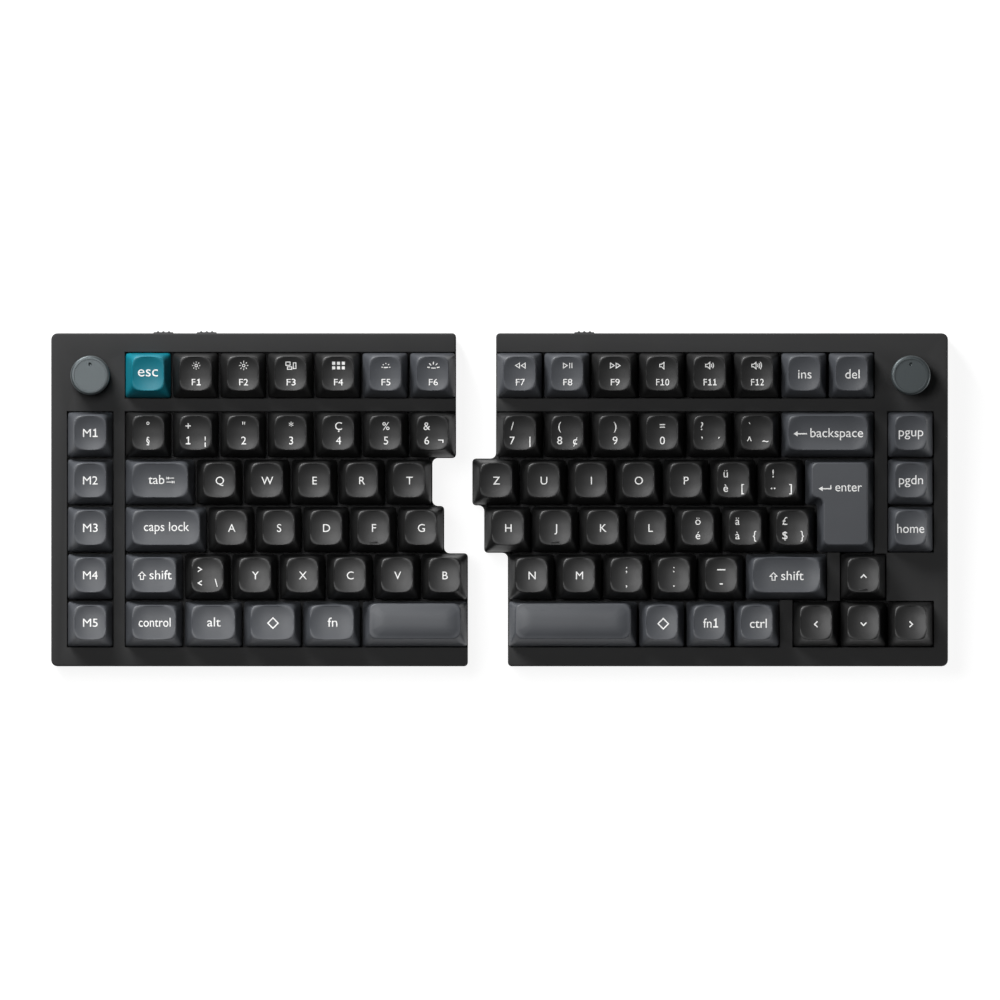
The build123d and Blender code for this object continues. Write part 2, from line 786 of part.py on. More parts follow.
def make_cap(width_share, row, homing=False):
    """One key cap standing on the origin, with the height, tilt and hollow top of its row."""
    width = width_share * key_pitch - cap_gap
    depth = key_pitch - cap_gap
    height = cap_height * row_height_shares[row]
    tilt = row_tilts[row]
    shift = (cap_front_margin - cap_rear_margin) / 2
    blank_height = height + dish_depth + depth / 2 * math.tan(math.radians(abs(tilt)))
    with BuildPart() as cap:
        ConvexPolyhedron(
            cap_blank_points(width, depth, height, blank_height, cap_rear_margin, cap_front_margin)
        )
        add(dish_cutter(width, height, tilt, shift, depth), mode=Mode.SUBTRACT)
        add(pocket_cutter(width, depth), mode=Mode.SUBTRACT)
        add(cap_stem())
        if homing:
            bar_y = bar_edge_distance + cap_front_margin - depth / 2
            with BuildSketch(Plane.XY.offset(pocket_depth)):
                with Locations((0, bar_y)):
                    Rectangle(bar_length, bar_width)
            bar_top = height - dish_depth + (bar_y - shift) * math.tan(math.radians(tilt)) + bar_height
            extrude(amount=bar_top - pocket_depth)
    return cap.part


def make_space_cap(width_share):
    """A space bar, whose top is rounded from front to rear."""
    width = width_share * key_pitch - cap_gap
    depth = key_pitch - cap_gap
    height = cap_height * row_height_shares[5]
    blank_height = height + space_crown
    slope = math.tan(math.radians(space_tilt))
    with BuildPart() as cap:
        ConvexPolyhedron(
            cap_blank_points(width, depth, height, blank_height, space_rear_margin, space_front_margin)
        )
        with BuildSketch(Plane.YZ):
            with BuildLine():
                Bezier(
                    (-depth / 2, height - space_crown - depth / 2 * slope),
                    (0, height + space_crown),
                    (depth / 2, height - space_crown + depth / 2 * slope),
                )
                Polyline(
                    (depth / 2, height - space_crown + depth / 2 * slope),
                    (depth / 2, height + overrun),
                    (-depth / 2, height + overrun),
                    (-depth / 2, height - space_crown - depth / 2 * slope),
                )
            make_face()
        extrude(amount=width, both=True, mode=Mode.SUBTRACT)
        add(pocket_cutter(width, depth), mode=Mode.SUBTRACT)
        add(cap_stem())
    return cap.part


def make_enter_cap():
    """The tall return key, whose rear part is wider than its front part."""
    narrow_width = 2 * (15 - enter_stem_share) * key_pitch - cap_gap
    wide_width = 1.5 * key_pitch - cap_gap
    tall_depth = 2 * key_pitch - cap_gap
    depth = key_pitch - cap_gap
    height = cap_height * row_height_shares[3]
    tilt = row_tilts[2] / 2
    blank_height = height + dish_depth + tall_depth / 2 * math.tan(math.radians(tilt))
    shift = (cap_front_margin - cap_rear_margin) / 2
    with BuildPart() as cap:
        ConvexPolyhedron(
            cap_blank_points(narrow_width, tall_depth, height, blank_height, cap_rear_margin, cap_front_margin)
        )
        with Locations(((narrow_width - wide_width) / 2, (tall_depth - depth) / 2)):
            ConvexPolyhedron(
                cap_blank_points(wide_width, depth, height, blank_height, cap_rear_margin, cap_front_margin)
            )
        add(dish_cutter(wide_width, height, tilt, shift, tall_depth), mode=Mode.SUBTRACT)
        add(pocket_cutter(narrow_width, tall_depth), mode=Mode.SUBTRACT)
        add(cap_stem())
    return cap.part


def make_keys(half, name, runs):
    """A group of caps that share one slide, placed on their switches."""
    if name == "key_enter":
        caps = [(make_enter_cap(), key_centres(half)[-1])]
    else:
        caps = []
        for run in runs:
            for x, v, width, row in run_centres(half, run):
                homing = (name, len(caps)) in homing_keys
                cap = make_space_cap(width) if name in spaces else make_cap(width, row, homing)
                caps.append((cap, (x, v)))
    with BuildPart(deck.offset(cap_skirt_level)) as keys:
        for cap, place in caps:
            with Locations(place):
                add(cap)
    finish(keys, name)


os.makedirs("parts", exist_ok=True)
for half in halves:
    make_top_case(half)
    make_bottom_case(half)
    make_switch_plate(half)
    make_circuit_board(half)
    make_switch_housings(half)
    make_gasket_strips(half)
    make_case_screws(half)
    make_rubber_feet(half)
    make_battery(half)
    make_encoder(half)
    make_slide_switches(half)
    make_port_sockets(half)
    for name, x, low, high in half.sliders:
        make_slider(name, x)
    for name, runs in half.run_shares.items():
        make_keys(half, name, runs)
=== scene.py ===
import json
import math
import re

import bmesh
import bpy
from bpy.props import FloatProperty, FloatVectorProperty, PointerProperty
from bpy.types import Operator, Panel, PropertyGroup
from mathutils import Matrix, Vector


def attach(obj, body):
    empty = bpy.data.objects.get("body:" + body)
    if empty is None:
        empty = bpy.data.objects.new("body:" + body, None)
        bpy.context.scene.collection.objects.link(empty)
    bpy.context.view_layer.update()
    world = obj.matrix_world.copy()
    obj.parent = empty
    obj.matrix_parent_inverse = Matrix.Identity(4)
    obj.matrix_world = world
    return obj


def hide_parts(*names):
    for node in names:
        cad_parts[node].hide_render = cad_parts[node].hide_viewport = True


bl_info = {
    "name": "Split Keyboard",
    "version": (1, 0, 0),
    "blender": (4, 5, 0),
    "location": "3D View > Sidebar > Split Keyboard",
    "description": "Key caps, legends, knobs and finishes of a split keyboard",
    "category": "Object",
}

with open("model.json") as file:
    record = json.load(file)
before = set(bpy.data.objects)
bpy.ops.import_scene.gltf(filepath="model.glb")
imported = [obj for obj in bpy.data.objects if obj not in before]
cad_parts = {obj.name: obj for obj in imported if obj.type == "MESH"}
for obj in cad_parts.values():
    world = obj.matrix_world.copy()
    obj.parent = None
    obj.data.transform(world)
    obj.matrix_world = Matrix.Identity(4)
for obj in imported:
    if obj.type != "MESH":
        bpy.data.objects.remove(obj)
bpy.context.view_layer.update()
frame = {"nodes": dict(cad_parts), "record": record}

# Millimetres in a metre. Pieces are modelled in millimetres on the deck plane, then set in the row frame.
MM = 1000.0

# A point this near to a level counts as on it
NEAR = 0.01

# A face whose normal has more than this share along Z counts as facing up, and below its negative as facing down
FACING = 0.9

# The profile of a round edge or corner
ROUND = 0.5

# Sides of the round rods, and of the recess in a screw's head
KNOB_SIDES = 96
SCREW_SIDES = 40
RIDGE_SIDES = 20
RECESS_SIDES = 6

# Degrees up to which an edge is shaded smooth: on the caps, on the case, and on the smaller pieces
CAP_SMOOTHING = 34
CASE_SMOOTHING = 20
FITTING_SMOOTHING = 30

# The deck plane: its slope, and the place of its middle at the level of the switch plate
TYPING_ANGLE = math.radians(5.2)
DECK_Y = -0.764057
DECK_HEIGHT = 19.196607
HALF_DEPTH = 66.931

# The key grid
KEY_PITCH = 19.05
CAP_GAP = 0.95
ROW_CENTRES = (50.006, 26.194, 7.144, -11.906, -30.956, -50.006)
LEFT_GRID_X = -150.756
RIGHT_GRID_X = -134.856
MACRO_START = -1.2205
CAP_SKIRT_LEVEL = 6.4
CAP_HEIGHT = 10.6
ROW_HEIGHT_SHARES = (1, 1, 0.87, 0.81, 0.83, 0.87)
ROW_TILTS = (6, 6, 4, 0, -3, -6)
SPACE_TILT = -2
STEM_WIDTH = 6.0
STEM_DEPTH = 5.0
STEM_END = -3.9
POCKET_DEPTH = 7.0
WALL = 1.4

# Runs of keys: for each group, its half's grid, and the row, start and widths of each run in key pitches
KEY_RUNS = {
    "key_escape": (LEFT_GRID_X, ((0, 0, (1,)),)),
    "keys_f1_to_f4": (LEFT_GRID_X, ((0, 1, (1, 1, 1, 1)),)),
    "keys_f5_and_f6": (LEFT_GRID_X, ((0, 5, (1, 1)),)),
    "keys_macro": (LEFT_GRID_X, tuple((row, MACRO_START, (1,)) for row in range(1, 6))),
    "keys_digits_left": (LEFT_GRID_X, ((1, 0, (1,) * 7),)),
    "key_tab": (LEFT_GRID_X, ((2, 0, (1.5,)),)),
    "keys_letters_q_to_t": (LEFT_GRID_X, ((2, 1.5, (1,) * 5),)),
    "key_caps_lock": (LEFT_GRID_X, ((3, 0, (1.75,)),)),
    "keys_letters_a_to_g": (LEFT_GRID_X, ((3, 1.75, (1,) * 5),)),
    "key_shift_left": (LEFT_GRID_X, ((4, 0, (1.25,)),)),
    "keys_letters_y_to_b": (LEFT_GRID_X, ((4, 1.25, (1,) * 6),)),
    "keys_modifiers_left": (LEFT_GRID_X, ((5, 0, (1.25,) * 4),)),
    "key_space_left": (LEFT_GRID_X, ((5, 5, (2.25,)),)),
    "keys_f7_and_f8": (RIGHT_GRID_X, ((0, 7, (1, 1)),)),
    "keys_f9_to_f12": (RIGHT_GRID_X, ((0, 9, (1, 1, 1, 1)),)),
    "keys_insert_delete": (RIGHT_GRID_X, ((0, 13, (1, 1)),)),
    "keys_digits_right": (RIGHT_GRID_X, ((1, 7, (1,) * 6),)),
    "key_backspace": (RIGHT_GRID_X, ((1, 13, (2,)),)),
    "keys_page_column": (RIGHT_GRID_X, tuple((row, 15.25, (1,)) for row in range(1, 4))),
    "keys_letters_z_to_p": (RIGHT_GRID_X, ((2, 6.5, (1,) * 7),)),
    "key_enter": (RIGHT_GRID_X, ()),
    "keys_letters_h_to_l": (RIGHT_GRID_X, ((3, 6.75, (1,) * 7),)),
    "keys_letters_n_to_m": (RIGHT_GRID_X, ((4, 7.25, (1,) * 5),)),
    "key_shift_right": (RIGHT_GRID_X, ((4, 12.25, (1.75,)),)),
    "keys_modifiers_right": (RIGHT_GRID_X, ((5, 10, (1, 1, 1)),)),
    "key_space_right": (RIGHT_GRID_X, ((5, 7.25, (2.75,)),)),
    "keys_arrows": (RIGHT_GRID_X, ((4, 14.25, (1,)), (5, 13.25, (1, 1, 1)))),
}
HOMING = {("keys_letters_a_to_g", 3), ("keys_letters_h_to_l", 1), ("keys_arrows", 0)}

# The return key: its middle from the grid's start, and the widths of its two parts, in key pitches
RETURN_SHARE = 14.375
RETURN_FRONT_SHARE = 1.25
RETURN_REAR_SHARE = 1.5

KNOB_PLACES = {"left": (-164.481, ROW_CENTRES[0]), "right": (165.181, ROW_CENTRES[0])}
SCREW_PLACES = {
    "left": ((-171.206, 63.931), (-26.406, 63.931), (-171.206, -63.931), (-21.644, -63.931)),
    "right": ((171.206, 63.931), (7.494, 63.931), (171.206, -63.931), (12.256, -63.931)),
}
FOOT_PLACES = {
    "left": ((-149.206, 60.045), (-48.406, 60.045), (-149.206, -59.42), (-43.644, -59.42)),
    "right": ((149.206, 60.045), (29.494, 60.045), (149.206, -59.42), (34.256, -59.42)),
}
SLIDER_PLACES = {"mode_slider": -135.206, "system_slider": -117.806, "power_slider": 34.106}


def deck_matrix():
    """From millimetres on the deck plane to metres in the row frame."""
    middle = Matrix.Translation((0, DECK_Y / MM, DECK_HEIGHT / MM))
    return middle @ Matrix.Rotation(TYPING_ANGLE, 4, "X") @ Matrix.Scale(1 / MM, 4)


def clear_selection():
    """Deselect every object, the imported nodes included."""
    bpy.ops.object.select_all(action="DESELECT")


def take(piece):
    """Make one object the only selected one, and the active one."""
    clear_selection()
    piece.select_set(True)
    bpy.context.view_layer.objects.active = piece


def open_mesh(piece, kind="VERT"):
    """Go into edit mode on one object with everything deselected."""
    take(piece)
    bpy.ops.object.mode_set(mode="EDIT")
    bpy.ops.mesh.select_mode(type=kind)
    bpy.ops.mesh.select_all(action="DESELECT")


def close_mesh():
    """Back to object mode."""
    bpy.ops.object.mode_set(mode="OBJECT")


def choose(piece, kind, wanted):
    """Select the vertices, edges or faces that a test of their points accepts."""
    bpy.ops.mesh.select_mode(type=kind)
    bpy.ops.mesh.select_all(action="DESELECT")
    shape = bmesh.from_edit_mesh(piece.data)
    parts = {"VERT": shape.verts, "EDGE": shape.edges, "FACE": shape.faces}[kind]
    found = []
    for part in parts:
        points = [part.co] if kind == "VERT" else [vertex.co for vertex in part.verts]
        if all(wanted(point) for point in points):
            part.select_set(True)
            found.append(part)
    shape.select_flush_mode()
    bmesh.update_edit_mesh(piece.data)
    if not found:
        raise RuntimeError(f"nothing to select on {piece.name}")


def choose_faces(piece, wanted):
    """Select the faces that a test of their middle and normal accepts."""
    bpy.ops.mesh.select_mode(type="FACE")
    bpy.ops.mesh.select_all(action="DESELECT")
    shape = bmesh.from_edit_mesh(piece.data)
    shape.normal_update()
    found = [face for face in shape.faces if wanted(face.calc_center_median(), face.normal)]
    for face in found:
        face.select_set(True)
    shape.select_flush_mode()
    bmesh.update_edit_mesh(piece.data)
    if not found:
        raise RuntimeError(f"no face to select on {piece.name}")


def settle(piece):
    """Apply an object's place, turn and scale to its mesh."""
    take(piece)
    bpy.ops.object.transform_apply(location=True, rotation=True, scale=True)


def weld(pieces, name):
    """Join objects into one and name it."""
    clear_selection()
    for piece in pieces:
        piece.select_set(True)
    bpy.context.view_layer.objects.active = pieces[0]
    if len(pieces) > 1:
        bpy.ops.object.join()
    joined = bpy.context.view_layer.objects.active
    joined.name = name
    joined.data.name = name
    return joined


def copy_to(model, x, y, z=0.0):
    """A copy of a piece with a mesh of its own, moved to a place."""
    twin = bpy.data.objects.new(model.name + "_copy", model.data.copy())
    bpy.context.scene.collection.objects.link(twin)
    twin.data.transform(Matrix.Translation((x, y, z)))
    return twin


def drop(models):
    """Remove the models that were copied."""
    for model in models:
        bpy.data.objects.remove(model)


def set_on_deck(piece):
    """Move a piece from millimetres on the deck plane to its place in the row frame."""
    piece.matrix_world = deck_matrix()
    settle(piece)


def soften(piece, degrees):
    """Smooth shading across all but the sharper edges."""
    take(piece)
    bpy.ops.object.shade_smooth_by_angle(angle=math.radians(degrees))


def select_whole():
    """Select all of the open mesh."""
    bpy.ops.mesh.select_all(action="SELECT")


def outwards():
    """Turn every face of the open mesh outwards."""
    select_whole()
    bpy.ops.mesh.normals_make_consistent(inside=False)


def extrude(amount):
    """Extrude the selected faces of the open mesh along Z."""
    bpy.ops.mesh.extrude_region_move(TRANSFORM_OT_translate={"value": (0, 0, amount)})


def extrude_edges(y=0.0, z=0.0):
    """Draw the selected edges of the open mesh out into a wall."""
    bpy.ops.mesh.extrude_edges_move(TRANSFORM_OT_translate={"value": (0, y, z)})


def round_edges(width, cuts):
    """Round the selected edges, or the edges of the selected faces, of the open mesh."""
    bpy.ops.mesh.bevel(offset=width, segments=cuts, profile=ROUND, affect="EDGES")


def round_corners(reach, cuts, profile=ROUND):
    """Round every corner of the open flat mesh."""
    select_whole()
    bpy.ops.mesh.bevel(offset=reach, segments=cuts, profile=profile, affect="VERTICES")


def make_sheet(width, depth, middle=(0, 0, 0)):
    """A flat rectangle with its middle at a place."""
    clear_selection()
    bpy.ops.mesh.primitive_plane_add(size=1, location=middle)
    sheet = bpy.context.object
    sheet.scale = (width, depth, 1)
    settle(sheet)
    return sheet


def make_block(sizes, middle):
    """A block to be rounded, with its middle at a place."""
    clear_selection()
    bpy.ops.mesh.primitive_cube_add(size=1, location=middle)
    block = bpy.context.object
    block.scale = sizes
    settle(block)
    return block


def make_rod(sides, radius, length, middle):
    """An upright rod to be rounded, with its middle at a place."""
    clear_selection()
    bpy.ops.mesh.primitive_cylinder_add(vertices=sides, radius=radius, depth=length, location=middle)
    rod = bpy.context.object
    settle(rod)
    return rod


def use_modifier(piece, kind, **settings):
    """Change a piece by a modifier with these settings."""
    take(piece)
    modifier = piece.modifiers.new("change", kind)
    for setting, value in settings.items():
        setattr(modifier, setting, value)
    bpy.ops.object.modifier_apply(modifier=modifier.name)


def cut_away(piece, tool):
    """Cut a tool's shape out of a piece, and remove the tool."""
    use_modifier(piece, "BOOLEAN", operation="DIFFERENCE", solver="EXACT", object=tool)
    drop([tool])


def finish_piece(piece, body, slot, nodes=()):
    """Give a piece its finish and its body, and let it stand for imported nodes."""
    piece.data.materials.clear()
    piece.data.materials.append(finish_for(slot))
    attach(piece, body)
    if nodes:
        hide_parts(*nodes)


# Finishes. Between these two values lies most of a noise.

NOISE_LOW = 0.3
NOISE_HIGH = 0.7


def link(material, source, output, target, socket):
    """Join two node sockets."""
    material.node_tree.links.new(source.outputs[output], target.inputs[socket])


def plain_finish(name, colour, roughness, metallic=0.0):
    """A finish with its shader's own sockets set."""
    material = bpy.data.materials.new(name)
    material.use_nodes = True
    shader = material.node_tree.nodes["Principled BSDF"]
    shader.inputs["Base Color"].default_value = (*colour, 1)
    shader.inputs["Roughness"].default_value = roughness
    shader.inputs["Metallic"].default_value = metallic
    material.diffuse_color = (*colour, 1)
    return material, shader


def add_noise(material, size, detail, stretch=(1, 1, 1)):
    """Noise with grains of a size in metres, stretched along the axes."""
    nodes = material.node_tree.nodes
    place = nodes.new("ShaderNodeTexCoord")
    turn = nodes.new("ShaderNodeMapping")
    turn.inputs["Scale"].default_value = tuple(share / size for share in stretch)
    noise = nodes.new("ShaderNodeTexNoise")
    noise.inputs["Scale"].default_value = 1.0
    noise.inputs["Detail"].default_value = detail
    link(material, place, "Object", turn, "Vector")
    link(material, turn, "Vector", noise, "Vector")
    return noise


def add_tone(material, shader, noise, colour, spread):
    """Let the colour drift a little with a noise."""
    ramp = material.node_tree.nodes.new("ShaderNodeValToRGB")
    low, high = ramp.color_ramp.elements
    low.position, high.position = NOISE_LOW, NOISE_HIGH
    low.color = (*(part * (1 - spread) for part in colour), 1)
    high.color = (*(part * (1 + spread) for part in colour), 1)
    link(material, noise, "Fac", ramp, "Fac")
    link(material, ramp, "Color", shader, "Base Color")


def add_gloss(material, shader, noise, roughness, spread):
    """Let the roughness vary on both sides of a value with a noise."""
    gloss = material.node_tree.nodes.new("ShaderNodeMapRange")
    gloss.inputs["From Min"].default_value = NOISE_LOW
    gloss.inputs["From Max"].default_value = NOISE_HIGH
    gloss.inputs["To Min"].default_value = roughness - spread
    gloss.inputs["To Max"].default_value = roughness + spread
    link(material, noise, "Fac", gloss, "Value")
    link(material, gloss, "Result", shader, "Roughness")


def add_relief(material, shader, noise, depth, strength, output="Fac"):
    """Raise and lower the surface with a noise, by a depth in metres."""
    relief = material.node_tree.nodes.new("ShaderNodeBump")
    relief.inputs["Strength"].default_value = strength
    relief.inputs["Distance"].default_value = depth
    link(material, noise, output, relief, "Height")
    link(material, relief, "Normal", shader, "Normal")


def grained_finish(name, colour, roughness, grain, depth, metallic=0.0, tone=0.08, patch=0.03, specular=0.5):
    """Moulded or blasted finish: fine grain in the relief and the gloss, and a slow drift of tone."""
    material, shader = plain_finish(name, colour, roughness, metallic)
    shader.inputs["Specular IOR Level"].default_value = specular
    add_tone(material, shader, add_noise(material, patch, 3.0), colour, tone)
    fine = add_noise(material, grain, 2.0)
    add_gloss(material, shader, fine, roughness, spread=0.05)
    add_relief(material, shader, fine, depth, strength=0.6)
    return material


def brushed_finish(name, colour, roughness, stretch, metallic=1.0):
    """Rolled or turned metal with marks that run one way."""
    material, shader = plain_finish(name, colour, roughness, metallic)
    marks = add_noise(material, 0.0004, 3.0, stretch)
    add_tone(material, shader, marks, colour, spread=0.14)
    add_gloss(material, shader, marks, roughness, spread=0.08)
    add_relief(material, shader, marks, depth=0.00001, strength=0.5)
    return material


def foam_finish(name, colour):
    """Open foam with pores."""
    material, shader = plain_finish(name, colour, 0.95)
    nodes = material.node_tree.nodes
    place = nodes.new("ShaderNodeTexCoord")
    pores = nodes.new("ShaderNodeTexVoronoi")
    pores.inputs["Scale"].default_value = 2500.0
    link(material, place, "Object", pores, "Vector")
    add_relief(material, shader, pores, depth=0.00006, strength=0.8, output="Distance")
    add_tone(material, shader, add_noise(material, 0.002, 3.0), colour, spread=0.25)
    return material


def board_finish(name, colour):
    """Solder mask over faint copper tracks."""
    material, shader = plain_finish(name, colour, 0.32)
    nodes = material.node_tree.nodes
    place = nodes.new("ShaderNodeTexCoord")
    tracks = nodes.new("ShaderNodeTexBrick")
    tracks.inputs["Scale"].default_value = 180.0
    tracks.inputs["Mortar Size"].default_value = 0.06
    tracks.inputs["Color1"].default_value = (*colour, 1)
    tracks.inputs["Color2"].default_value = (*(part * 0.85 for part in colour), 1)
    tracks.inputs["Mortar"].default_value = (*(part * 2.2 for part in colour), 1)
    link(material, place, "Object", tracks, "Vector")
    link(material, tracks, "Color", shader, "Base Color")
    add_relief(material, shader, tracks, depth=0.00003, strength=0.5)
    return material


def make_finishes(colours):
    """The finish of every material slot of the record."""
    caps = {
        "cap_black": (tuple(colours.cap_black), 0.6),
        "cap_grey": (tuple(colours.cap_grey), 0.5),
        "cap_teal": (tuple(colours.cap_teal), 0.4),
    }
    finishes = {
        slot: grained_finish(
            slot + "_moulded", colour, 0.46, 0.00016, 0.000012, tone=0.05, patch=0.02, specular=specular
        )
        for slot, (colour, specular) in caps.items()
    }
    finishes.update({
        "case_shell": grained_finish(
            "case_blasted", tuple(colours.case), 0.9, 0.00022, 0.000012, tone=0.04, specular=0.15
        ),
        # The switch plate is real steel, but its near-black colour is painted shade: it darkens the gaps between and
        # around the caps where the plate shows.
        "plate_steel": brushed_finish("plate_painted_shade", (0.02, 0.02, 0.021), 0.55, (1, 0.04, 1), 0.5),
        "board": board_finish("board_mask", (0.012, 0.02, 0.018)),
        "switch_plastic": grained_finish("switch_moulded", (0.022, 0.022, 0.024), 0.38, 0.0003, 0.00001),
        "gasket_foam": foam_finish("gasket_pores", (0.02, 0.02, 0.021)),
        "screw_steel": brushed_finish("screw_black_oxide", (0.07, 0.07, 0.075), 0.36, (1, 1, 0.2)),
        "foot_rubber": grained_finish("foot_rubber_matte", (0.018, 0.018, 0.018), 0.8, 0.0004, 0.00003),
        "battery_wrap": grained_finish("battery_film", (0.2, 0.22, 0.25), 0.3, 0.003, 0.00008, tone=0.1),
        "encoder_metal": brushed_finish("encoder_steel", (0.42, 0.43, 0.45), 0.32, (1, 1, 0.1)),
        "socket_metal": brushed_finish("socket_steel", (0.4, 0.4, 0.42), 0.28, (0.1, 1, 1)),
        "knob_metal": grained_finish(
            "knob_anodised", tuple(colours.knob), 0.4, 0.0002, 0.000008, metallic=0.55, tone=0.04
        ),
        "slider_plastic": grained_finish("slider_moulded", (0.02, 0.02, 0.021), 0.45, 0.0002, 0.00001),
        "legend_white": grained_finish(
            "legend_second_shot", tuple(colours.legend), 0.5, 0.0002, 0.000006, tone=0.02
        ),
    })
    return finishes


def finish_for(slot):
    """The finish of one slot, made at the first call."""
    if not made_finishes:
        made_finishes.update(make_finishes(bpy.context.scene.split_keyboard_colours))
    return made_finishes[slot]


made_finishes = {}
slot_of = {part["node"]: part["material_slot"] for part in frame["record"]["subparts"]}
body_of_node = {node: body for body, nodes in frame["record"]["behaviour"]["bodies"].items() for node in nodes}


# Key caps

CORNER_CUTS = 9
SIDE_CUTS = 5
RIM_CUTS = 3
SKIRT_CORNER = 1.1
TOP_CORNER_PROFILE = 0.735
POCKET_END_SHARE = 0.72

# No other face of a cap than its top lies above this level
LEAST_TOP_LEVEL = 7.5

# Shares of a cap's top at which the rings of its hollow lie, and how far its slope runs on past the outermost
DISH_RINGS = (0.93, 0.83, 0.7, 0.56, 0.42, 0.28, 0.12)
DISH_OVERRUN = 0.4

# The space bars' own margins and corners, and the return key's
SPACE_REAR_MARGIN = 0.8
SPACE_FRONT_MARGIN = 3.2
SPACE_CORNER = 3.2
RETURN_CORNER = 2.6
RETURN_MIDDLE = (0.5, 7.0)
RETURN_POCKET_SHARES = (0.88, 0.88)

# The stem's hold in the cap, and the homing bar with its place from the edge of the top
STEM_HOLD = 0.4
STEM_ROUNDING = 0.4
BAR_SIZES = (3.4, 0.5, 1.2)
BAR_ROUNDING = 0.18
BAR_EDGE_DISTANCE = 1.2
BAR_SINK = 0.55


def keep_outline(ring, corner, profile, place, tilt):
    """Round the corners of an open flat mesh, keep its outline alone, and lay it at a place, flat or tilted."""
    round_corners(corner, CORNER_CUTS, profile)
    select_whole()
    bpy.ops.mesh.delete(type="ONLY_FACE")
    close_mesh()
    ring.rotation_euler.x = tilt
    ring.location = place
    settle(ring)
    return ring


def lay_ring(width, depth, centre, corner, profile, height, tilt=0.0):
    """A rounded rectangle of edges, laid flat or tilted about its middle."""
    ring = make_sheet(width, depth)
    open_mesh(ring)
    return keep_outline(ring, corner, profile, (*centre, height), tilt)


def lay_return_ring(inset, rear_inset, front_inset, corner, profile, height, tilt=0.0):
    """The outline of the tall return key: a wide rear part and a narrower front part."""
    narrow = RETURN_FRONT_SHARE * KEY_PITCH - CAP_GAP
    wide = RETURN_REAR_SHARE * KEY_PITCH - CAP_GAP
    tall = 2 * KEY_PITCH - CAP_GAP
    depth = KEY_PITCH - CAP_GAP
    right = narrow / 2 - inset
    left = narrow / 2 - wide + inset
    notch = -narrow / 2 + inset
    rear = tall / 2 - rear_inset
    step = tall / 2 - depth + front_inset
    front = -tall / 2 + front_inset
    ring = make_sheet(right - left, rear - step, ((left + right) / 2, (rear + step) / 2, 0))
    open_mesh(ring)
    select_whole()
    bpy.ops.mesh.bisect(plane_co=(notch, 0, 0), plane_no=(1, 0, 0))
    choose(ring, "EDGE", lambda point: point.y < step + NEAR and point.x > notch - NEAR)
    extrude_edges(y=front - step)
    select_whole()
    bpy.ops.mesh.dissolve_limited(angle_limit=math.radians(1))
    bpy.ops.mesh.select_mode(type="VERT")
    return keep_outline(ring, corner, profile, (0, 0, height), tilt)


def dish_top(centre, height, hollow, half_sizes):
    """Lay rings in the selected flat top of a cap and sink or raise its middle in a smooth hollow."""
    bpy.ops.mesh.hide(unselected=True)
    reach = min(half_sizes)
    before = half_sizes
    for share in DISH_RINGS:
        now = [half - (1 - share) * reach for half in half_sizes]
        across, along = now[0] / before[0], now[1] / before[1]
        extrude(0)
        bpy.ops.transform.resize(value=(across, along, along), center_override=(*centre, height))
        before = now
    bpy.ops.transform.translate(
        value=(0, 0, -hollow), use_proportional_edit=True, proportional_edit_falloff="INVERSE_SQUARE",
        proportional_size=reach * (1 - DISH_RINGS[-1]) + DISH_OVERRUN)
    bpy.ops.mesh.reveal(select=False)


def shape_shell(base, top, centre, height, tilt, inner_shares, rim, sides="PATH"):
    """Bridge a cap's base and top outlines, hollow it from below, round its rim, and leave its top selected."""
    slope = math.tan(tilt)
    shell = weld([base, top], "cap_model")
    open_mesh(shell, "EDGE")
    select_whole()
    bpy.ops.mesh.bridge_edge_loops(number_cuts=SIDE_CUTS, interpolation=sides)

    def on_top(point):
        return abs(point.z - height - (point.y - centre[1]) * slope) < NEAR and point.z > LEAST_TOP_LEVEL

    choose(shell, "EDGE", on_top)
    bpy.ops.mesh.edge_face_add()
    choose(shell, "EDGE", lambda point: point.z < NEAR)
    extrude_edges()
    bpy.ops.transform.resize(value=(*inner_shares, 1), center_override=(*centre, 0))
    extrude_edges(z=POCKET_DEPTH)
    bpy.ops.transform.resize(value=(POCKET_END_SHARE, POCKET_END_SHARE, 1), center_override=(*centre, 0))
    bpy.ops.mesh.edge_face_add()
    outwards()
    choose(shell, "EDGE", on_top)
    round_edges(rim, RIM_CUTS)
    choose_faces(shell, lambda middle, normal: on_top(middle) and normal.z > FACING)
    return shell


def make_stem():
    """The stem below a cap, with softened edges."""
    low, high = STEM_END, POCKET_DEPTH + STEM_HOLD
    stem = make_block((STEM_WIDTH, STEM_DEPTH, high - low), (0, 0, (low + high) / 2))
    open_mesh(stem, "EDGE")
    choose(stem, "EDGE", lambda point: point.z < low + NEAR)
    round_edges(STEM_ROUNDING, 2)
    close_mesh()
    return stem


def make_homing_bar(y, height):
    """The raised bar that the fingertip finds."""
    bar = make_block(BAR_SIZES, (0, y, height))
    open_mesh(bar, "EDGE")
    choose(bar, "EDGE", lambda point: point.z > height + NEAR)
    round_edges(BAR_ROUNDING, 2)
    close_mesh()
    return bar


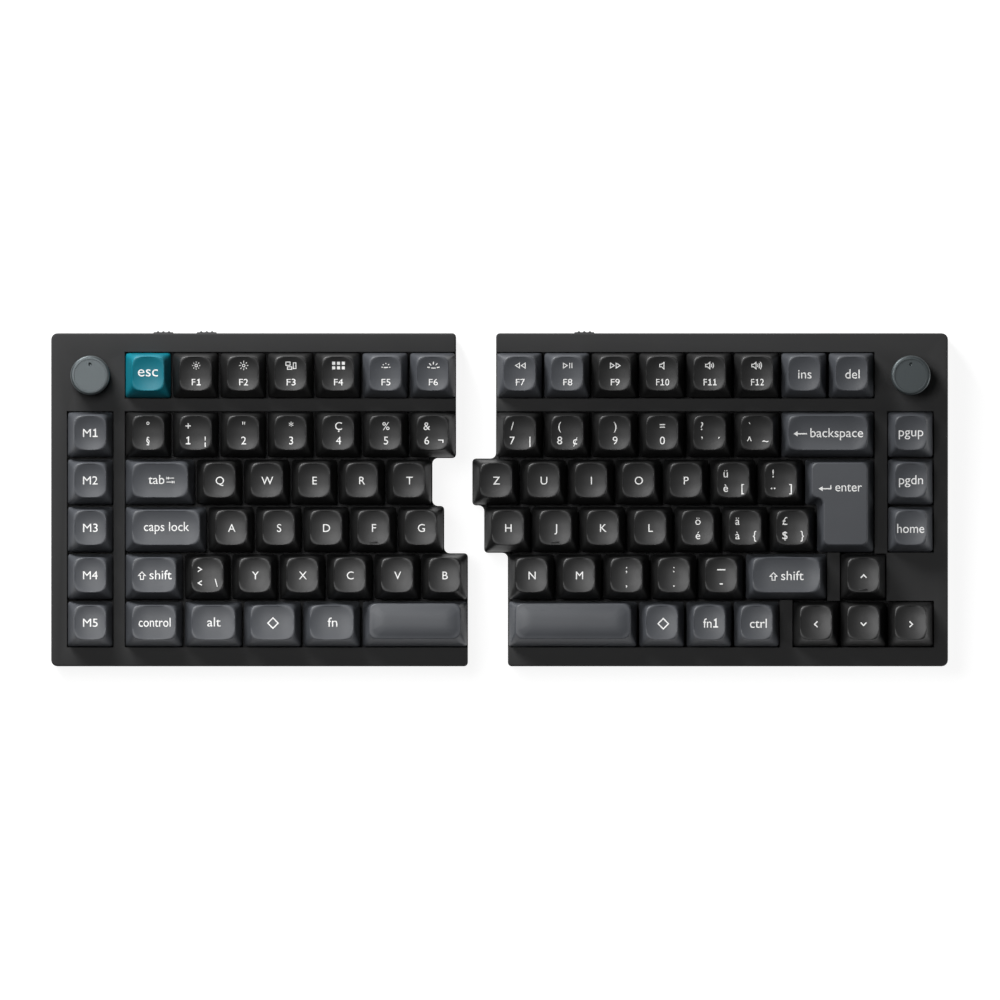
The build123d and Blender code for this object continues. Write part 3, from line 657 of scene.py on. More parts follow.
def make_cap(width_share, row, style):
    """One key cap standing on the origin."""
    sizes = bpy.context.scene.split_keyboard_caps
    space = style == "space"
    width = width_share * KEY_PITCH - CAP_GAP
    depth = KEY_PITCH - CAP_GAP
    side = sizes.side_margin * MM
    rear = SPACE_REAR_MARGIN if space else sizes.rear_margin * MM
    front = SPACE_FRONT_MARGIN if space else sizes.front_margin * MM
    tilt = math.radians(SPACE_TILT if space else ROW_TILTS[row])
    height = CAP_HEIGHT * ROW_HEIGHT_SHARES[row]
    corner = SPACE_CORNER if space else sizes.corner_reach * MM
    profile = ROUND if space else TOP_CORNER_PROFILE
    dish = -sizes.space_crown * MM if space else sizes.dish_depth * MM
    middle = (0, (front - rear) / 2)
    base = lay_ring(width, depth, (0, 0), SKIRT_CORNER, ROUND, 0)
    top = lay_ring(width - 2 * side, depth - rear - front, middle, corner, profile, height, tilt)
    inner = ((width - 2 * WALL) / width, (depth - 2 * WALL) / depth)
    half_sizes = (width / 2 - side, (depth - rear - front) / 2)
    shell = shape_shell(base, top, middle, height, tilt, inner, sizes.rim_radius * MM)
    dish_top(middle, height, dish, half_sizes)
    close_mesh()
    parts = [shell, make_stem()]
    if style == "homing":
        bar_y = BAR_EDGE_DISTANCE + front - depth / 2
        parts.append(make_homing_bar(bar_y, height - BAR_SINK + (bar_y - middle[1]) * math.tan(tilt)))
    cap = weld(parts, "cap_model")
    soften(cap, CAP_SMOOTHING)
    return cap


def make_return_cap():
    """The tall return key, whose rear part is wider than its front part and whose top is flat."""
    sizes = bpy.context.scene.split_keyboard_caps
    height = CAP_HEIGHT * ROW_HEIGHT_SHARES[3]
    tilt = math.radians(ROW_TILTS[2] / 2)
    side, rear, front = sizes.side_margin * MM, sizes.rear_margin * MM, sizes.front_margin * MM
    base = lay_return_ring(0, 0, 0, SKIRT_CORNER, ROUND, 0)
    top = lay_return_ring(side, rear, front, RETURN_CORNER, ROUND, height, tilt)
    level = height + RETURN_MIDDLE[1] * math.tan(tilt)
    rim = sizes.rim_radius * MM
    shell = shape_shell(base, top, RETURN_MIDDLE, level, tilt, RETURN_POCKET_SHARES, rim, "LINEAR")
    close_mesh()
    cap = weld([shell, make_stem()], "return_model")
    soften(cap, CAP_SMOOTHING)
    open_mesh(cap, "FACE")
    choose_faces(cap, lambda spot, normal: spot.z > height - 1 and normal.z > 0.999)
    bpy.ops.mesh.faces_shade_flat()
    close_mesh()
    return cap


def key_places(node):
    """Middle, width and row of each key of a group, in the order of its runs."""
    grid, runs = KEY_RUNS[node]
    if node == "key_enter":
        return [(grid + RETURN_SHARE * KEY_PITCH, (ROW_CENTRES[2] + ROW_CENTRES[3]) / 2, 0, 0)]
    places = []
    for row, start, widths in runs:
        for width in widths:
            places.append((grid + (start + width / 2) * KEY_PITCH, ROW_CENTRES[row], width, row))
            start += width
    return places


# Legends. A mark is a word or a sign with its place from the key's middle: for words the middle across and the
# baseline, then the letter size and, where it matters, the width; for signs the middle both ways.

LETTER_SIZE = 4.55
LETTER_BASE = -1.0
UPPER_BASE = 1.85
LOWER_BASE = -3.95
LEFT_COLUMN = -2.9
RIGHT_COLUMN = 3.95
CENTRE_COLUMN = 0.35
WORD_SIZE = 5.3
MACRO_SIZE = 4.75
MACRO_WIDTH = 5.9
NUMBER_SIZE = 3.75
NUMBER_BASE = -4.05
NUMBER_WIDTHS = {2: 3.6, 3: 5.2}
SIGN_MIDDLE = 3.9


def letter(text):
    """One large letter."""
    return ((text, 0.3, LETTER_BASE, LETTER_SIZE),)


def macro(text):
    """A macro key's letter and number."""
    return ((text, 0.1, LETTER_BASE, MACRO_SIZE, MACRO_WIDTH),)


def function_key(text, sign):
    """A function key's sign above its number."""
    width = NUMBER_WIDTHS[len(text)]
    return ((sign, CENTRE_COLUMN, SIGN_MIDDLE), (text, CENTRE_COLUMN, NUMBER_BASE, NUMBER_SIZE, width))


def word(text, x, base, width):
    """A word in the size of most words, drawn to a width."""
    return (text, x, base, WORD_SIZE, width)


def pair(upper, lower, x=CENTRE_COLUMN):
    """A shifted character above a plain one."""
    return ((upper, x, UPPER_BASE, LETTER_SIZE), (lower, x, LOWER_BASE, LETTER_SIZE))


def trio(upper, lower, third, x=RIGHT_COLUMN):
    """Three characters: two at the left, one at the right."""
    return pair(upper, lower, LEFT_COLUMN) + ((third, x, LOWER_BASE, LETTER_SIZE),)


LEGENDS = {
    "key_escape": ((("esc", 0, -0.45, 6.2, 8.1),),),
    "keys_f1_to_f4": (
        function_key("F1", "@sun_small"), function_key("F2", "@sun"),
        function_key("F3", "@windows"), function_key("F4", "@grid"),
    ),
    "keys_f5_and_f6": (function_key("F5", "@glow_small"), function_key("F6", "@glow")),
    "keys_macro": (macro("M1"), macro("M2"), macro("M3"), macro("M4"), macro("M5")),
    "keys_digits_left": (
        (("°", 0.0, UPPER_BASE, LETTER_SIZE), ("§", 0.0, -3.5, 3.7)),
        trio("+", "1", "¦"), pair("\"", "2"), pair("*", "3"), pair("Ç", "4"),
        pair("%", "5"), pair("&", "6", -2.3) + (("¬", 3.3, LOWER_BASE, LETTER_SIZE),),
    ),
    "key_tab": ((word("tab", -1.4, -0.8, 6.4), ("@tab_arrows", 4.2, 0.75)),),
    "keys_letters_q_to_t": tuple(letter(text) for text in "QWERT"),
    "key_caps_lock": ((word("caps lock", 0.3, -0.65, 18.2),),),
    "keys_letters_a_to_g": tuple(letter(text) for text in "ASDFG"),
    "key_shift_left": ((("@shift_arrow", -4.8, 0.35), word("shift", 2.7, -1.0, 8.9)),),
    "keys_letters_y_to_b": (
        (("@more", -3.1, 3.0), ("@less", -2.85, -2.5), ("\\", 3.6, LOWER_BASE, LETTER_SIZE)),
        *(letter(text) for text in "YXCVB"),
    ),
    "keys_modifiers_left": (
        (word("control", 0.3, -1.0, 12.8),), (word("alt", 0.3, -0.9, 5.4),),
        (("@diamond", 0.2, 0.45),), (word("fn", 0.3, -1.0, 3.9),),
    ),
    "keys_f7_and_f8": (function_key("F7", "@back"), function_key("F8", "@play")),
    "keys_f9_to_f12": (
        function_key("F9", "@forward"), function_key("F10", "@sound_off"),
        function_key("F11", "@sound_low"), function_key("F12", "@sound_high"),
    ),
    "keys_insert_delete": ((word("ins", 0.3, -1.3, 5.4),), (word("del", 0.4, -1.3, 5.8),)),
    "keys_digits_right": (
        trio("/", "7", "|", 4.2), trio("(", "8", "¢", 3.3), pair(")", "9", 0.3), pair("=", "0", 0.25),
        trio("?", "’", "´"), trio("`", "^", "~", 3.5),
    ),
    "key_backspace": ((("@back_arrow", -11.0, 0.3), word("backspace", 3.6, -1.05, 21.2)),),
    "keys_page_column": (
        (word("pgup", 0.1, -0.7, 9.9),), (word("pgdn", 0.1, -0.9, 9.7),),
        (word("home", 0, -1.4, 10.9),),
    ),
    "keys_letters_z_to_p": (
        *(letter(text) for text in "ZUIOP"), trio("ü", "è", "["),
        (
            ("!", LEFT_COLUMN, UPPER_BASE, LETTER_SIZE), ("@dots", LEFT_COLUMN, -2.6),
            ("]", 4.1, LOWER_BASE, LETTER_SIZE),
        ),
    ),
    "key_enter": ((("@return_arrow", -8.2, 7.1), word("enter", 1.25, 5.75, 10.7)),),
    "keys_letters_h_to_l": (
        *(letter(text) for text in "HJKL"), pair("ö", "é", 0.25),
        trio("ä", "à", "{"), trio("£", "$", "}", 4.05),
    ),
    "keys_letters_n_to_m": (
        letter("N"), letter("M"), pair(";", ",", 0.1), pair(":", ".", 0.1),
        (("@long_dash", 0.1, 2.85), ("@dash", 0.1, -2.85)),
    ),
    "key_shift_right": ((("@shift_arrow", -5.1, 0.05), word("shift", 2.45, -1.3, 9.0)),),
    "keys_modifiers_right": (
        (("@diamond", 0.6, 0.2),), (word("fn1", 0.6, -1.35, 6.0),), (word("ctrl", 0.7, -1.45, 6.8),),
    ),
    "keys_arrows": ((("@up", 0.15, 0.2),), (("@left", 0.05, 0.0),), (("@down", 0.1, 0.1),), (("@right", 0.1, 0.0),)),
}

# Widths of the strokes that the signs are drawn with
STROKE = 0.42
THIN = 0.34
HAIR = 0.26
BOLD = 0.5


def stroke(points, width=STROKE, closed=False):
    """Outlines of a line of a width along points: one outline where it is open, two where it is closed."""
    points = [Vector(point) for point in points]
    count = len(points)
    sides = ([], [])
    for index, point in enumerate(points):
        before = point - points[index - 1] if closed or index > 0 else None
        after = points[(index + 1) % count] - point if closed or index < count - 1 else None
        before = (before or after).normalized()
        after = (after or before).normalized()
        normal = Vector((-(before + after).y, (before + after).x)).normalized()
        reach = width / 2 / max(0.4, normal.dot(Vector((-before.y, before.x))))
        sides[0].append(point + normal * reach)
        sides[1].append(point - normal * reach)
    if closed:
        return [sides[0], sides[1]]
    return [sides[0] + sides[1][::-1]]


def arc(radius, start, end, count, centre=(0, 0)):
    """Points along an arc, angles in degrees."""
    angles = [math.radians(start + (end - start) * step / count) for step in range(count + 1)]
    return [(centre[0] + radius * math.cos(a), centre[1] + radius * math.sin(a)) for a in angles]


def rays(inner, outer, angles, centre=(0, 0), width=STROKE):
    """Short strokes that point away from a middle."""
    strokes = []
    for angle in angles:
        way = Vector((math.cos(math.radians(angle)), math.sin(math.radians(angle))))
        middle = Vector(centre)
        strokes.append(stroke([middle + way * inner, middle + way * outer], width))
    return strokes


def box_points(left, front, right, rear):
    """Corners of a rectangle."""
    return [(left, front), (right, front), (right, rear), (left, rear)]


def shifted(points, x, y=0.0):
    """Points moved by an amount."""
    return [(point[0] + x, point[1] + y) for point in points]


def sign_outlines(name):
    """The drawn signs, each a list of flat shapes, and each shape a list of outlines."""
    triangle = [(-0.8, 0), (0.8, 1.0), (0.8, -1.0)]
    mirrored = [(-x, y) for x, y in triangle]
    horn = [(-1.2, -0.5), (-0.45, -0.5), (0.5, -1.3), (0.5, 1.3), (-0.45, 0.5), (-1.2, 0.5)]
    horn_at = [stroke(shifted(horn, x), THIN, True) for x in (0, -0.6, -1.1)]
    ring = stroke(arc(0.55, 0, 330, 11), 0.28, True)
    eighths = range(0, 360, 45)
    fan = (0, 45, 90, 135, 180)
    dot = 0.62
    waves = [stroke(arc(radius, -38, 38, 6), THIN) for radius in (1.0, 1.7, 2.4)]
    signs = {
        "@sun_small": [ring] + rays(1.2, 1.6, eighths, width=0.3),
        "@sun": [ring] + rays(1.2, 1.85, eighths, width=0.3),
        "@windows": [
            stroke(box_points(-2.1, 0.1, -0.4, 1.4), THIN, True),
            stroke(box_points(-1.5, -1.5, 0.3, -0.5), THIN, True),
            stroke(box_points(0.9, -1.2, 1.95, 1.1), THIN, True),
        ],
        "@grid": [
            [box_points(x - dot, y - dot, x + dot, y + dot)] for x in (-1.95, 0, 1.95) for y in (-0.92, 0.92)
        ],
        "@glow_small": [stroke([(-0.9, -0.8), (0.9, -0.8)])] + rays(1.3, 1.75, fan, (0, -0.7)),
        "@glow": [stroke([(-0.9, -1.0), (0.9, -1.0)])] + rays(1.4, 2.5, (8, 50, 90, 130, 172), (0, -1.0)),
        "@back": [stroke(shifted(triangle, -1.15), THIN, True), stroke(shifted(triangle, 1.15), THIN, True)],
        "@forward": [stroke(shifted(mirrored, -1.15), THIN, True), stroke(shifted(mirrored, 1.15), THIN, True)],
        "@play": [
            stroke(shifted(mirrored, -1.0), THIN, True), stroke([(0.75, -1.1), (0.75, 1.1)], THIN),
            stroke([(1.65, -1.1), (1.65, 1.1)], THIN),
        ],
        "@sound_off": [horn_at[0]],
        "@sound_low": [horn_at[1], [shifted(waves[0][0], -0.3)], [shifted(waves[1][0], -0.3)]],
        "@sound_high": [horn_at[2]] + [[shifted(wave[0], -0.8)] for wave in waves],
        "@tab_arrows": [
            stroke([(-1.5, 0.3), (-1.5, 1.3)], HAIR), stroke([(-1.2, 0.8), (1.5, 0.8)], HAIR),
            stroke([(-0.6, 1.25), (-1.15, 0.8), (-0.6, 0.35)], HAIR),
            stroke([(1.5, -0.3), (1.5, -1.3)], HAIR), stroke([(1.2, -0.8), (-1.5, -0.8)], HAIR),
            stroke([(0.6, -1.25), (1.15, -0.8), (0.6, -0.35)], HAIR),
        ],
        "@shift_arrow": [stroke(
            [(0, 1.6), (1.4, 0.15), (0.62, 0.15), (0.62, -1.4), (-0.62, -1.4), (-0.62, 0.15), (-1.4, 0.15)],
            0.36, True)],
        "@back_arrow": [
            stroke([(-1.4, 0), (2.7, 0)], BOLD), [[(-2.75, 0), (-1.1, -1.05), (-1.1, 1.05)]],
        ],
        "@return_arrow": [
            stroke([(-1.2, -0.3), (2.3, -0.3), (2.3, 1.15)], 0.45), [[(-2.6, -0.3), (-1.0, -1.25), (-1.0, 0.65)]],
        ],
        "@diamond": [stroke([(0, 2.1), (2.1, 0), (0, -2.1), (-2.1, 0)], 0.48, True)],
        "@dots": [[arc(0.32, 0, 330, 11, (x, 0))] for x in (-0.6, 0.6)],
        "@long_dash": [stroke([(-1.65, 0), (1.65, 0)], BOLD)],
        "@dash": [stroke([(-0.62, 0), (0.62, 0)], BOLD)],
        "@up": [stroke([(-1.15, -0.6), (0, 0.6), (1.15, -0.6)], BOLD)],
        "@down": [stroke([(-1.15, 0.6), (0, -0.6), (1.15, 0.6)], BOLD)],
        "@left": [stroke([(0.6, 1.15), (-0.6, 0), (0.6, -1.15)], BOLD)],
        "@right": [stroke([(-0.6, 1.15), (0.6, 0), (-0.6, -1.15)], BOLD)],
        "@more": [stroke([(-0.7, 0.9), (0.8, 0), (-0.7, -0.9)])],
        "@less": [stroke([(0.7, 0.9), (-0.8, 0), (0.7, -0.9)])],
    }
    return signs[name]


# The level, above all caps, from which legends are laid on them, and the space between characters as a share of size
LEGEND_LEVEL = 30.0
SPACING_SHARE = 0.13


def fill_outlines(outlines):
    """A flat mesh inside an outline, less the outlines inside it."""
    curve = bpy.data.curves.new("outline", "CURVE")
    curve.dimensions = "2D"
    curve.fill_mode = "BOTH"
    for outline in outlines:
        spline = curve.splines.new("POLY")
        spline.points.add(len(outline) - 1)
        for spot, point in zip(spline.points, outline):
            spot.co = (point[0], point[1], 0, 1)
        spline.use_cyclic_u = True
    shape = bpy.data.objects.new("outline", curve)
    bpy.context.scene.collection.objects.link(shape)
    take(shape)
    bpy.ops.object.convert(target="MESH")
    return bpy.context.object


def write_run(text, size):
    """Characters of the built-in font made a flat mesh."""
    clear_selection()
    bpy.ops.object.text_add()
    run = bpy.context.object
    run.data.body = text
    run.data.size = size
    run.data.resolution_u = 4
    bpy.ops.object.convert(target="MESH")
    return bpy.context.object


def write_one(size):
    """The digit one with a flag and a foot, flat, its lower left corner on the origin."""
    weight, rise, reach = 0.105 * size, 0.682 * size, 0.4 * size
    middle = reach * 0.55
    sign = fill_outlines(stroke(
        [(0.06 * size, rise * 0.8), (middle, rise - weight * 0.5), (middle, 0)], weight))
    foot = fill_outlines(stroke([(0, weight / 2), (reach, weight / 2)], weight))
    return weld([sign, foot], "one")


def write_word(text, x, y, size, width=None):
    """A word or character made a flat mesh, with its middle across at x and its baseline at y."""
    parts = []
    edge = 0.0
    space = SPACING_SHARE * size
    for run in re.findall("1|[^1]+", text):
        part = write_one(size) if run == "1" else write_run(run, size)
        across = [vertex.co.x for vertex in part.data.vertices]
        if not across:
            raise RuntimeError(f"the built-in font has no shape for {run!r}")
        part.location.x = edge - min(across)
        settle(part)
        edge += max(across) - min(across) + space
        parts.append(part)
    mark = weld(parts, "word")
    edge -= space
    factor = width / edge if width else 1.0
    mark.scale.x = factor
    mark.location = (x - edge / 2 * factor, y, LEGEND_LEVEL)
    settle(mark)
    return mark


def draw_sign(name, x, y):
    """A sign made a flat mesh, with its middle at a place."""
    sign = weld([fill_outlines(outlines) for outlines in sign_outlines(name)], "sign")
    sign.location = (x, y, LEGEND_LEVEL)
    settle(sign)
    return sign


class SPLITKEYBOARD_PG_caps(PropertyGroup):
    """Sizes of the key caps."""

    side_margin: FloatProperty(
        name="Side Margin", description="How far a cap's top stands in from its skirt at the sides",
        default=0.0026, unit="LENGTH")
    rear_margin: FloatProperty(
        name="Rear Margin", description="How far a cap's top stands in from its skirt at the rear",
        default=0.00135, unit="LENGTH")
    front_margin: FloatProperty(
        name="Front Margin", description="How far a cap's top stands in from its skirt at the front",
        default=0.00275, unit="LENGTH")
    corner_reach: FloatProperty(
        name="Corner Reach", description="Length of each side of a cap's top that its round corner takes up",
        default=0.0064, unit="LENGTH")
    rim_radius: FloatProperty(
        name="Rim Radius", description="Rounding of the edge round a cap's top", default=0.00042, unit="LENGTH")
    dish_depth: FloatProperty(
        name="Dish Depth", description="Depth of the hollow in a cap's top", default=0.0008, unit="LENGTH")
    space_crown: FloatProperty(
        name="Space Crown", description="Rise of a space bar's top above its rim", default=0.0009, unit="LENGTH")


class SPLITKEYBOARD_PG_trim(PropertyGroup):
    """Sizes of the knobs, the legends and the rounding of the case."""

    knob_radius: FloatProperty(
        name="Knob Radius", description="Radius of both knobs", default=0.0079, unit="LENGTH")
    knob_chamfer: FloatProperty(
        name="Knob Chamfer", description="Rounding of a knob's upper edge", default=0.0009, unit="LENGTH")
    case_rounding: FloatProperty(
        name="Case Rounding", description="Rounding of the edges of the case", default=0.00018, unit="LENGTH")
    legend_thickness: FloatProperty(
        name="Legend Thickness", description="Thickness of the legends", default=0.00008, unit="LENGTH")


class SPLITKEYBOARD_PG_colours(PropertyGroup):
    """Colours of the finishes."""

    case: FloatVectorProperty(
        name="Case", description="Anodised case", subtype="COLOR", default=(0.034, 0.034, 0.0344))
    cap_black: FloatVectorProperty(
        name="Black Caps", description="Letter and digit caps", subtype="COLOR", default=(0.009, 0.009, 0.0091))
    cap_grey: FloatVectorProperty(
        name="Grey Caps", description="Modifier and macro caps", subtype="COLOR", default=(0.06, 0.064, 0.072))
    cap_teal: FloatVectorProperty(
        name="Escape Cap", description="The teal escape cap", subtype="COLOR", default=(0.001, 0.15, 0.2))
    legend: FloatVectorProperty(
        name="Legends", description="Letters and signs on the caps", subtype="COLOR", default=(0.84, 0.84, 0.83))
    knob: FloatVectorProperty(
        name="Knobs", description="Anodised knobs", subtype="COLOR", default=(0.062, 0.073, 0.077))


class SPLITKEYBOARD_PG_stage(PropertyGroup):
    """Sizes of the stage and strength of its lights."""

    camera_distance: FloatProperty(
        name="Camera Distance", description="Distance of the camera from the deck", default=16.0, unit="LENGTH")
    view_width: FloatProperty(
        name="View Width", description="Width of the view at the deck", default=0.4019, unit="LENGTH")
    floor_size: FloatProperty(
        name="Floor Size", description="Length of each side of the floor", default=8.0, unit="LENGTH")
    key_power: FloatProperty(
        name="Key Light", description="Power of the low soft light at the left rear", default=12.0, unit="POWER")
    top_power: FloatProperty(
        name="Top Light", description="Power of the soft light above", default=8.5, unit="POWER")
    side_power: FloatProperty(
        name="Side Light", description="Power of the low soft light at the right", default=3.0, unit="POWER")
    fill_strength: FloatProperty(
        name="Fill", description="Strength of the light from all round", default=0.03, subtype="FACTOR")


class SPLITKEYBOARD_OT_add_caps(Operator):
    """Add all the key caps, one piece for each group of keys"""

    bl_idname = "split_keyboard.add_caps"
    bl_label = "Add Key Caps"

    def execute(self, context):
        models = {}
        for node in KEY_RUNS:
            caps = []
            for index, (x, y, width, row) in enumerate(key_places(node)):
                if node == "key_enter":
                    kind = ("return",)
                elif node.startswith("key_space"):
                    kind = (width, row, "space")
                else:
                    kind = (width, row, "homing" if (node, index) in HOMING else "dished")
                if kind not in models:
                    models[kind] = make_return_cap() if node == "key_enter" else make_cap(*kind)
                caps.append(copy_to(models[kind], x, y, CAP_SKIRT_LEVEL))
            group = weld(caps, node + "_caps")
            set_on_deck(group)
            finish_piece(group, body_of_node[node], slot_of[node], (node,))
        drop(models.values())
        return {"FINISHED"}


class SPLITKEYBOARD_OT_add_legends(Operator):
    """Add the letters, digits and signs on the caps, laid on their hollow tops"""

    bl_idname = "split_keyboard.add_legends"
    bl_label = "Add Legends"

    def execute(self, context):
        thickness = context.scene.split_keyboard_trim.legend_thickness * MM
        least_edge, raised_share = 0.0005, 0.3
        for node, keys in LEGENDS.items():
            marks = []
            for (x, y, width, row), key_marks in zip(key_places(node), keys, strict=True):
                for text, across, up, *rest in key_marks:
                    if text.startswith("@"):
                        marks.append(draw_sign(text, x + across, y + up))
                    else:
                        marks.append(write_word(text, x + across, y + up, *rest))
            legend = weld(marks, node + "_legends")
            open_mesh(legend)
            select_whole()
            bpy.ops.mesh.remove_doubles(threshold=least_edge)
            close_mesh()
            legend.matrix_world = deck_matrix()
            use_modifier(
                legend, "SHRINKWRAP", target=bpy.data.objects[node + "_caps"], wrap_method="PROJECT",
                use_project_z=True, use_negative_direction=True, use_positive_direction=False)
            use_modifier(legend, "SOLIDIFY", thickness=thickness, offset=raised_share)
            settle(legend)
            finish_piece(legend, body_of_node[node], "legend_white")
        return {"FINISHED"}


class SPLITKEYBOARD_OT_add_cases(Operator):
    """Add the case shells with rounded edges"""

    bl_idname = "split_keyboard.add_cases"
    bl_label = "Add Case Shells"

    def execute(self, context):
        width = context.scene.split_keyboard_trim.case_rounding
        least_edge, flat_within, round_above = 0.000002, math.radians(0.5), math.radians(25)
        for side in ("left", "right"):
            for part in ("top_case", "bottom_case"):
                node = f"{side}_{part}"
                shell = bpy.data.objects.new(node + "_rounded", frame["nodes"][node].data.copy())
                context.scene.collection.objects.link(shell)
                open_mesh(shell)
                select_whole()
                bpy.ops.mesh.remove_doubles(threshold=least_edge)
                bpy.ops.mesh.dissolve_limited(angle_limit=flat_within)
                close_mesh()
                use_modifier(
                    shell, "BEVEL", width=width, segments=3, limit_method="ANGLE", angle_limit=round_above,
                    use_clamp_overlap=True)
                soften(shell, CASE_SMOOTHING)
                finish_piece(shell, side + "_base", "case_shell", (node,))
        return {"FINISHED"}


class SPLITKEYBOARD_OT_add_knobs(Operator):
    """Add the two knobs: a rounded rim, a sunk disc and a dimple"""

    bl_idname = "split_keyboard.add_knobs"
    bl_label = "Add Knobs"

    def execute(self, context):
        sizes = context.scene.split_keyboard_trim
        radius, chamfer = sizes.knob_radius * MM, sizes.knob_chamfer * MM
        low, high, foot_rounding = 8.2, 18.0, 0.3
        rim_width, step_width, step_depth, disc_margin = 0.5, 0.12, 0.3, 0.35
        bore_radius, bore_depth = 3.03, 7.8
        dimple_radius, dimple_reach, dimple_sink = 0.75, 4.4, 0.1
        model = make_rod(KNOB_SIDES, radius, high - low, (0, 0, (low + high) / 2))
        open_mesh(model, "EDGE")
        choose(model, "EDGE", lambda point: point.z > high - NEAR)
        round_edges(chamfer, 5)
        choose(model, "EDGE", lambda point: point.z < low + NEAR)
        round_edges(foot_rounding, 2)
        choose_faces(model, lambda middle, normal: middle.z > high - NEAR)
        bpy.ops.mesh.inset(thickness=rim_width)
        bpy.ops.mesh.inset(thickness=step_width, depth=-step_depth)
        bpy.ops.mesh.inset(thickness=disc_margin)
        choose_faces(model, lambda middle, normal: middle.z < low + NEAR and normal.z < -FACING)
        bpy.ops.mesh.inset(thickness=radius - foot_rounding - bore_radius)
        extrude(bore_depth)
        outwards()
        close_mesh()
        bpy.ops.mesh.primitive_uv_sphere_add(
            segments=24, ring_count=12, radius=dimple_radius, location=(0, dimple_reach, high - dimple_sink))
        cut_away(model, context.object)
        soften(model, FITTING_SMOOTHING)
        for side, (x, y) in KNOB_PLACES.items():
            knob = weld([copy_to(model, x, y)], side + "_knob_turned")
            set_on_deck(knob)
            finish_piece(knob, side + "_knob", "knob_metal", (side + "_knob",))
        drop([model])
        return {"FINISHED"}


class SPLITKEYBOARD_OT_add_slider_caps(Operator):
    """Add the slide caps in the rear wall, each with three finger ridges"""

    bl_idname = "split_keyboard.add_slider_caps"
    bl_label = "Add Slide Caps"

    def execute(self, context):
        level, width, height, rounding = -8.25, 8.0, 2.8, 0.3
        grip, reach = 2.9, 0.5
        ridge_radius, ridge_pitch, ridge_length, ridge_rounding, ridge_reach = 0.6, 2.2, 2.7, 0.15, 0.9
        neck_width, neck_height, neck_rounding, neck_hold, neck_grip = 4.0, 1.4, 0.2, 0.2, 8.7
        inner, outer, neck_end = HALF_DEPTH - grip, HALF_DEPTH + reach, HALF_DEPTH - neck_grip
        block = make_block((width, outer - inner, height), (0, (inner + outer) / 2, level))
        open_mesh(block, "EDGE")
        choose(block, "EDGE", lambda point: point.y > outer - NEAR)
        round_edges(rounding, 3)
        close_mesh()
        parts = [block]
        for step in (-1, 0, 1):
            place = (ridge_pitch * step, HALF_DEPTH + ridge_reach - ridge_radius, level)
            ridge = make_rod(RIDGE_SIDES, ridge_radius, ridge_length, place)
            open_mesh(ridge, "FACE")
            choose_faces(ridge, lambda middle, normal: abs(normal.z) > FACING)
            round_edges(ridge_rounding, 2)
            close_mesh()
            parts.append(ridge)
        neck_length = inner + neck_hold - neck_end
        neck = make_block((neck_width, neck_length, neck_height), (0, neck_end + neck_length / 2, level))
        open_mesh(neck, "EDGE")
        choose(neck, "EDGE", lambda point: point.y < neck_end + NEAR)
        round_edges(neck_rounding, 2)
        close_mesh()
        parts.append(neck)
        model = weld(parts, "slider_model")
        soften(model, FITTING_SMOOTHING)
        for node, x in SLIDER_PLACES.items():
            cap = weld([copy_to(model, x, 0)], node + "_cap")
            set_on_deck(cap)
            finish_piece(cap, node, "slider_plastic", (node,))
        drop([model])
        return {"FINISHED"}


class SPLITKEYBOARD_OT_add_screws(Operator):
    """Add the case screws, with rounded heads and six-sided recesses"""

    bl_idname = "split_keyboard.add_screws"
    bl_label = "Add Case Screws"

    def execute(self, context):
        seat, end = -8.0, 5.0
        head_height, head_radius, head_rounding = 1.8, 1.9, 0.35
        shank_radius, tip_length, tip_share = 0.98, 0.4, 0.7
        recess_radius, recess_depth = 1.15, 1.0
        model = make_rod(SCREW_SIDES, head_radius, head_height, (0, 0, seat - head_height / 2))
        open_mesh(model, "FACE")
        choose_faces(model, lambda middle, normal: normal.z < -FACING)
        round_edges(head_rounding, 3)
        choose_faces(model, lambda middle, normal: normal.z > FACING)
        bpy.ops.mesh.inset(thickness=head_radius - shank_radius)
        extrude(end - seat - tip_length)
        extrude(tip_length)
        bpy.ops.transform.resize(value=(tip_share, tip_share, 1), center_override=(0, 0, end))
        close_mesh()
        cut_away(model, make_rod(RECESS_SIDES, recess_radius, 2 * recess_depth, (0, 0, seat - head_height)))
        soften(model, FITTING_SMOOTHING)
        for side, places in SCREW_PLACES.items():
            node = side + "_case_screws"
            screws = weld([copy_to(model, x, y) for x, y in places], node + "_turned")
            set_on_deck(screws)
            finish_piece(screws, side + "_base", "screw_steel", (node,))
        drop([model])
        return {"FINISHED"}


class SPLITKEYBOARD_OT_add_feet(Operator):
    """Add the rubber feet, with round corners and a soft lower edge"""

    bl_idname = "split_keyboard.add_feet"
    bl_label = "Add Rubber Feet"

    def execute(self, context):
        length, depth, thickness, corner, rounding = 30.0, 8.0, 1.6, 3.4, 0.5
        model = make_sheet(length, depth)
        open_mesh(model)
        round_corners(corner, 6)
        select_whole()
        extrude(thickness)
        outwards()
        choose_faces(model, lambda middle, normal: middle.z < NEAR)
        round_edges(rounding, 3)
        close_mesh()
        soften(model, FITTING_SMOOTHING)
        for side, places in FOOT_PLACES.items():
            node = side + "_rubber_feet"
            feet = weld([copy_to(model, x, y) for x, y in places], node + "_moulded")
            feet.scale = (1 / MM, 1 / MM, 1 / MM)
            settle(feet)
            finish_piece(feet, side + "_base", "foot_rubber", (node,))
        drop([model])
        return {"FINISHED"}


class SPLITKEYBOARD_OT_finish_inner_parts(Operator):
    """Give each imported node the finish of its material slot"""

    bl_idname = "split_keyboard.finish_inner_parts"
    bl_label = "Finish Inner Parts"

    def execute(self, context):
        for node, part in frame["nodes"].items():
            finish = finish_for(slot_of[node])
            if not part.material_slots:
                part.data.materials.append(finish)
            for place in part.material_slots:
                place.material = finish
        return {"FINISHED"}


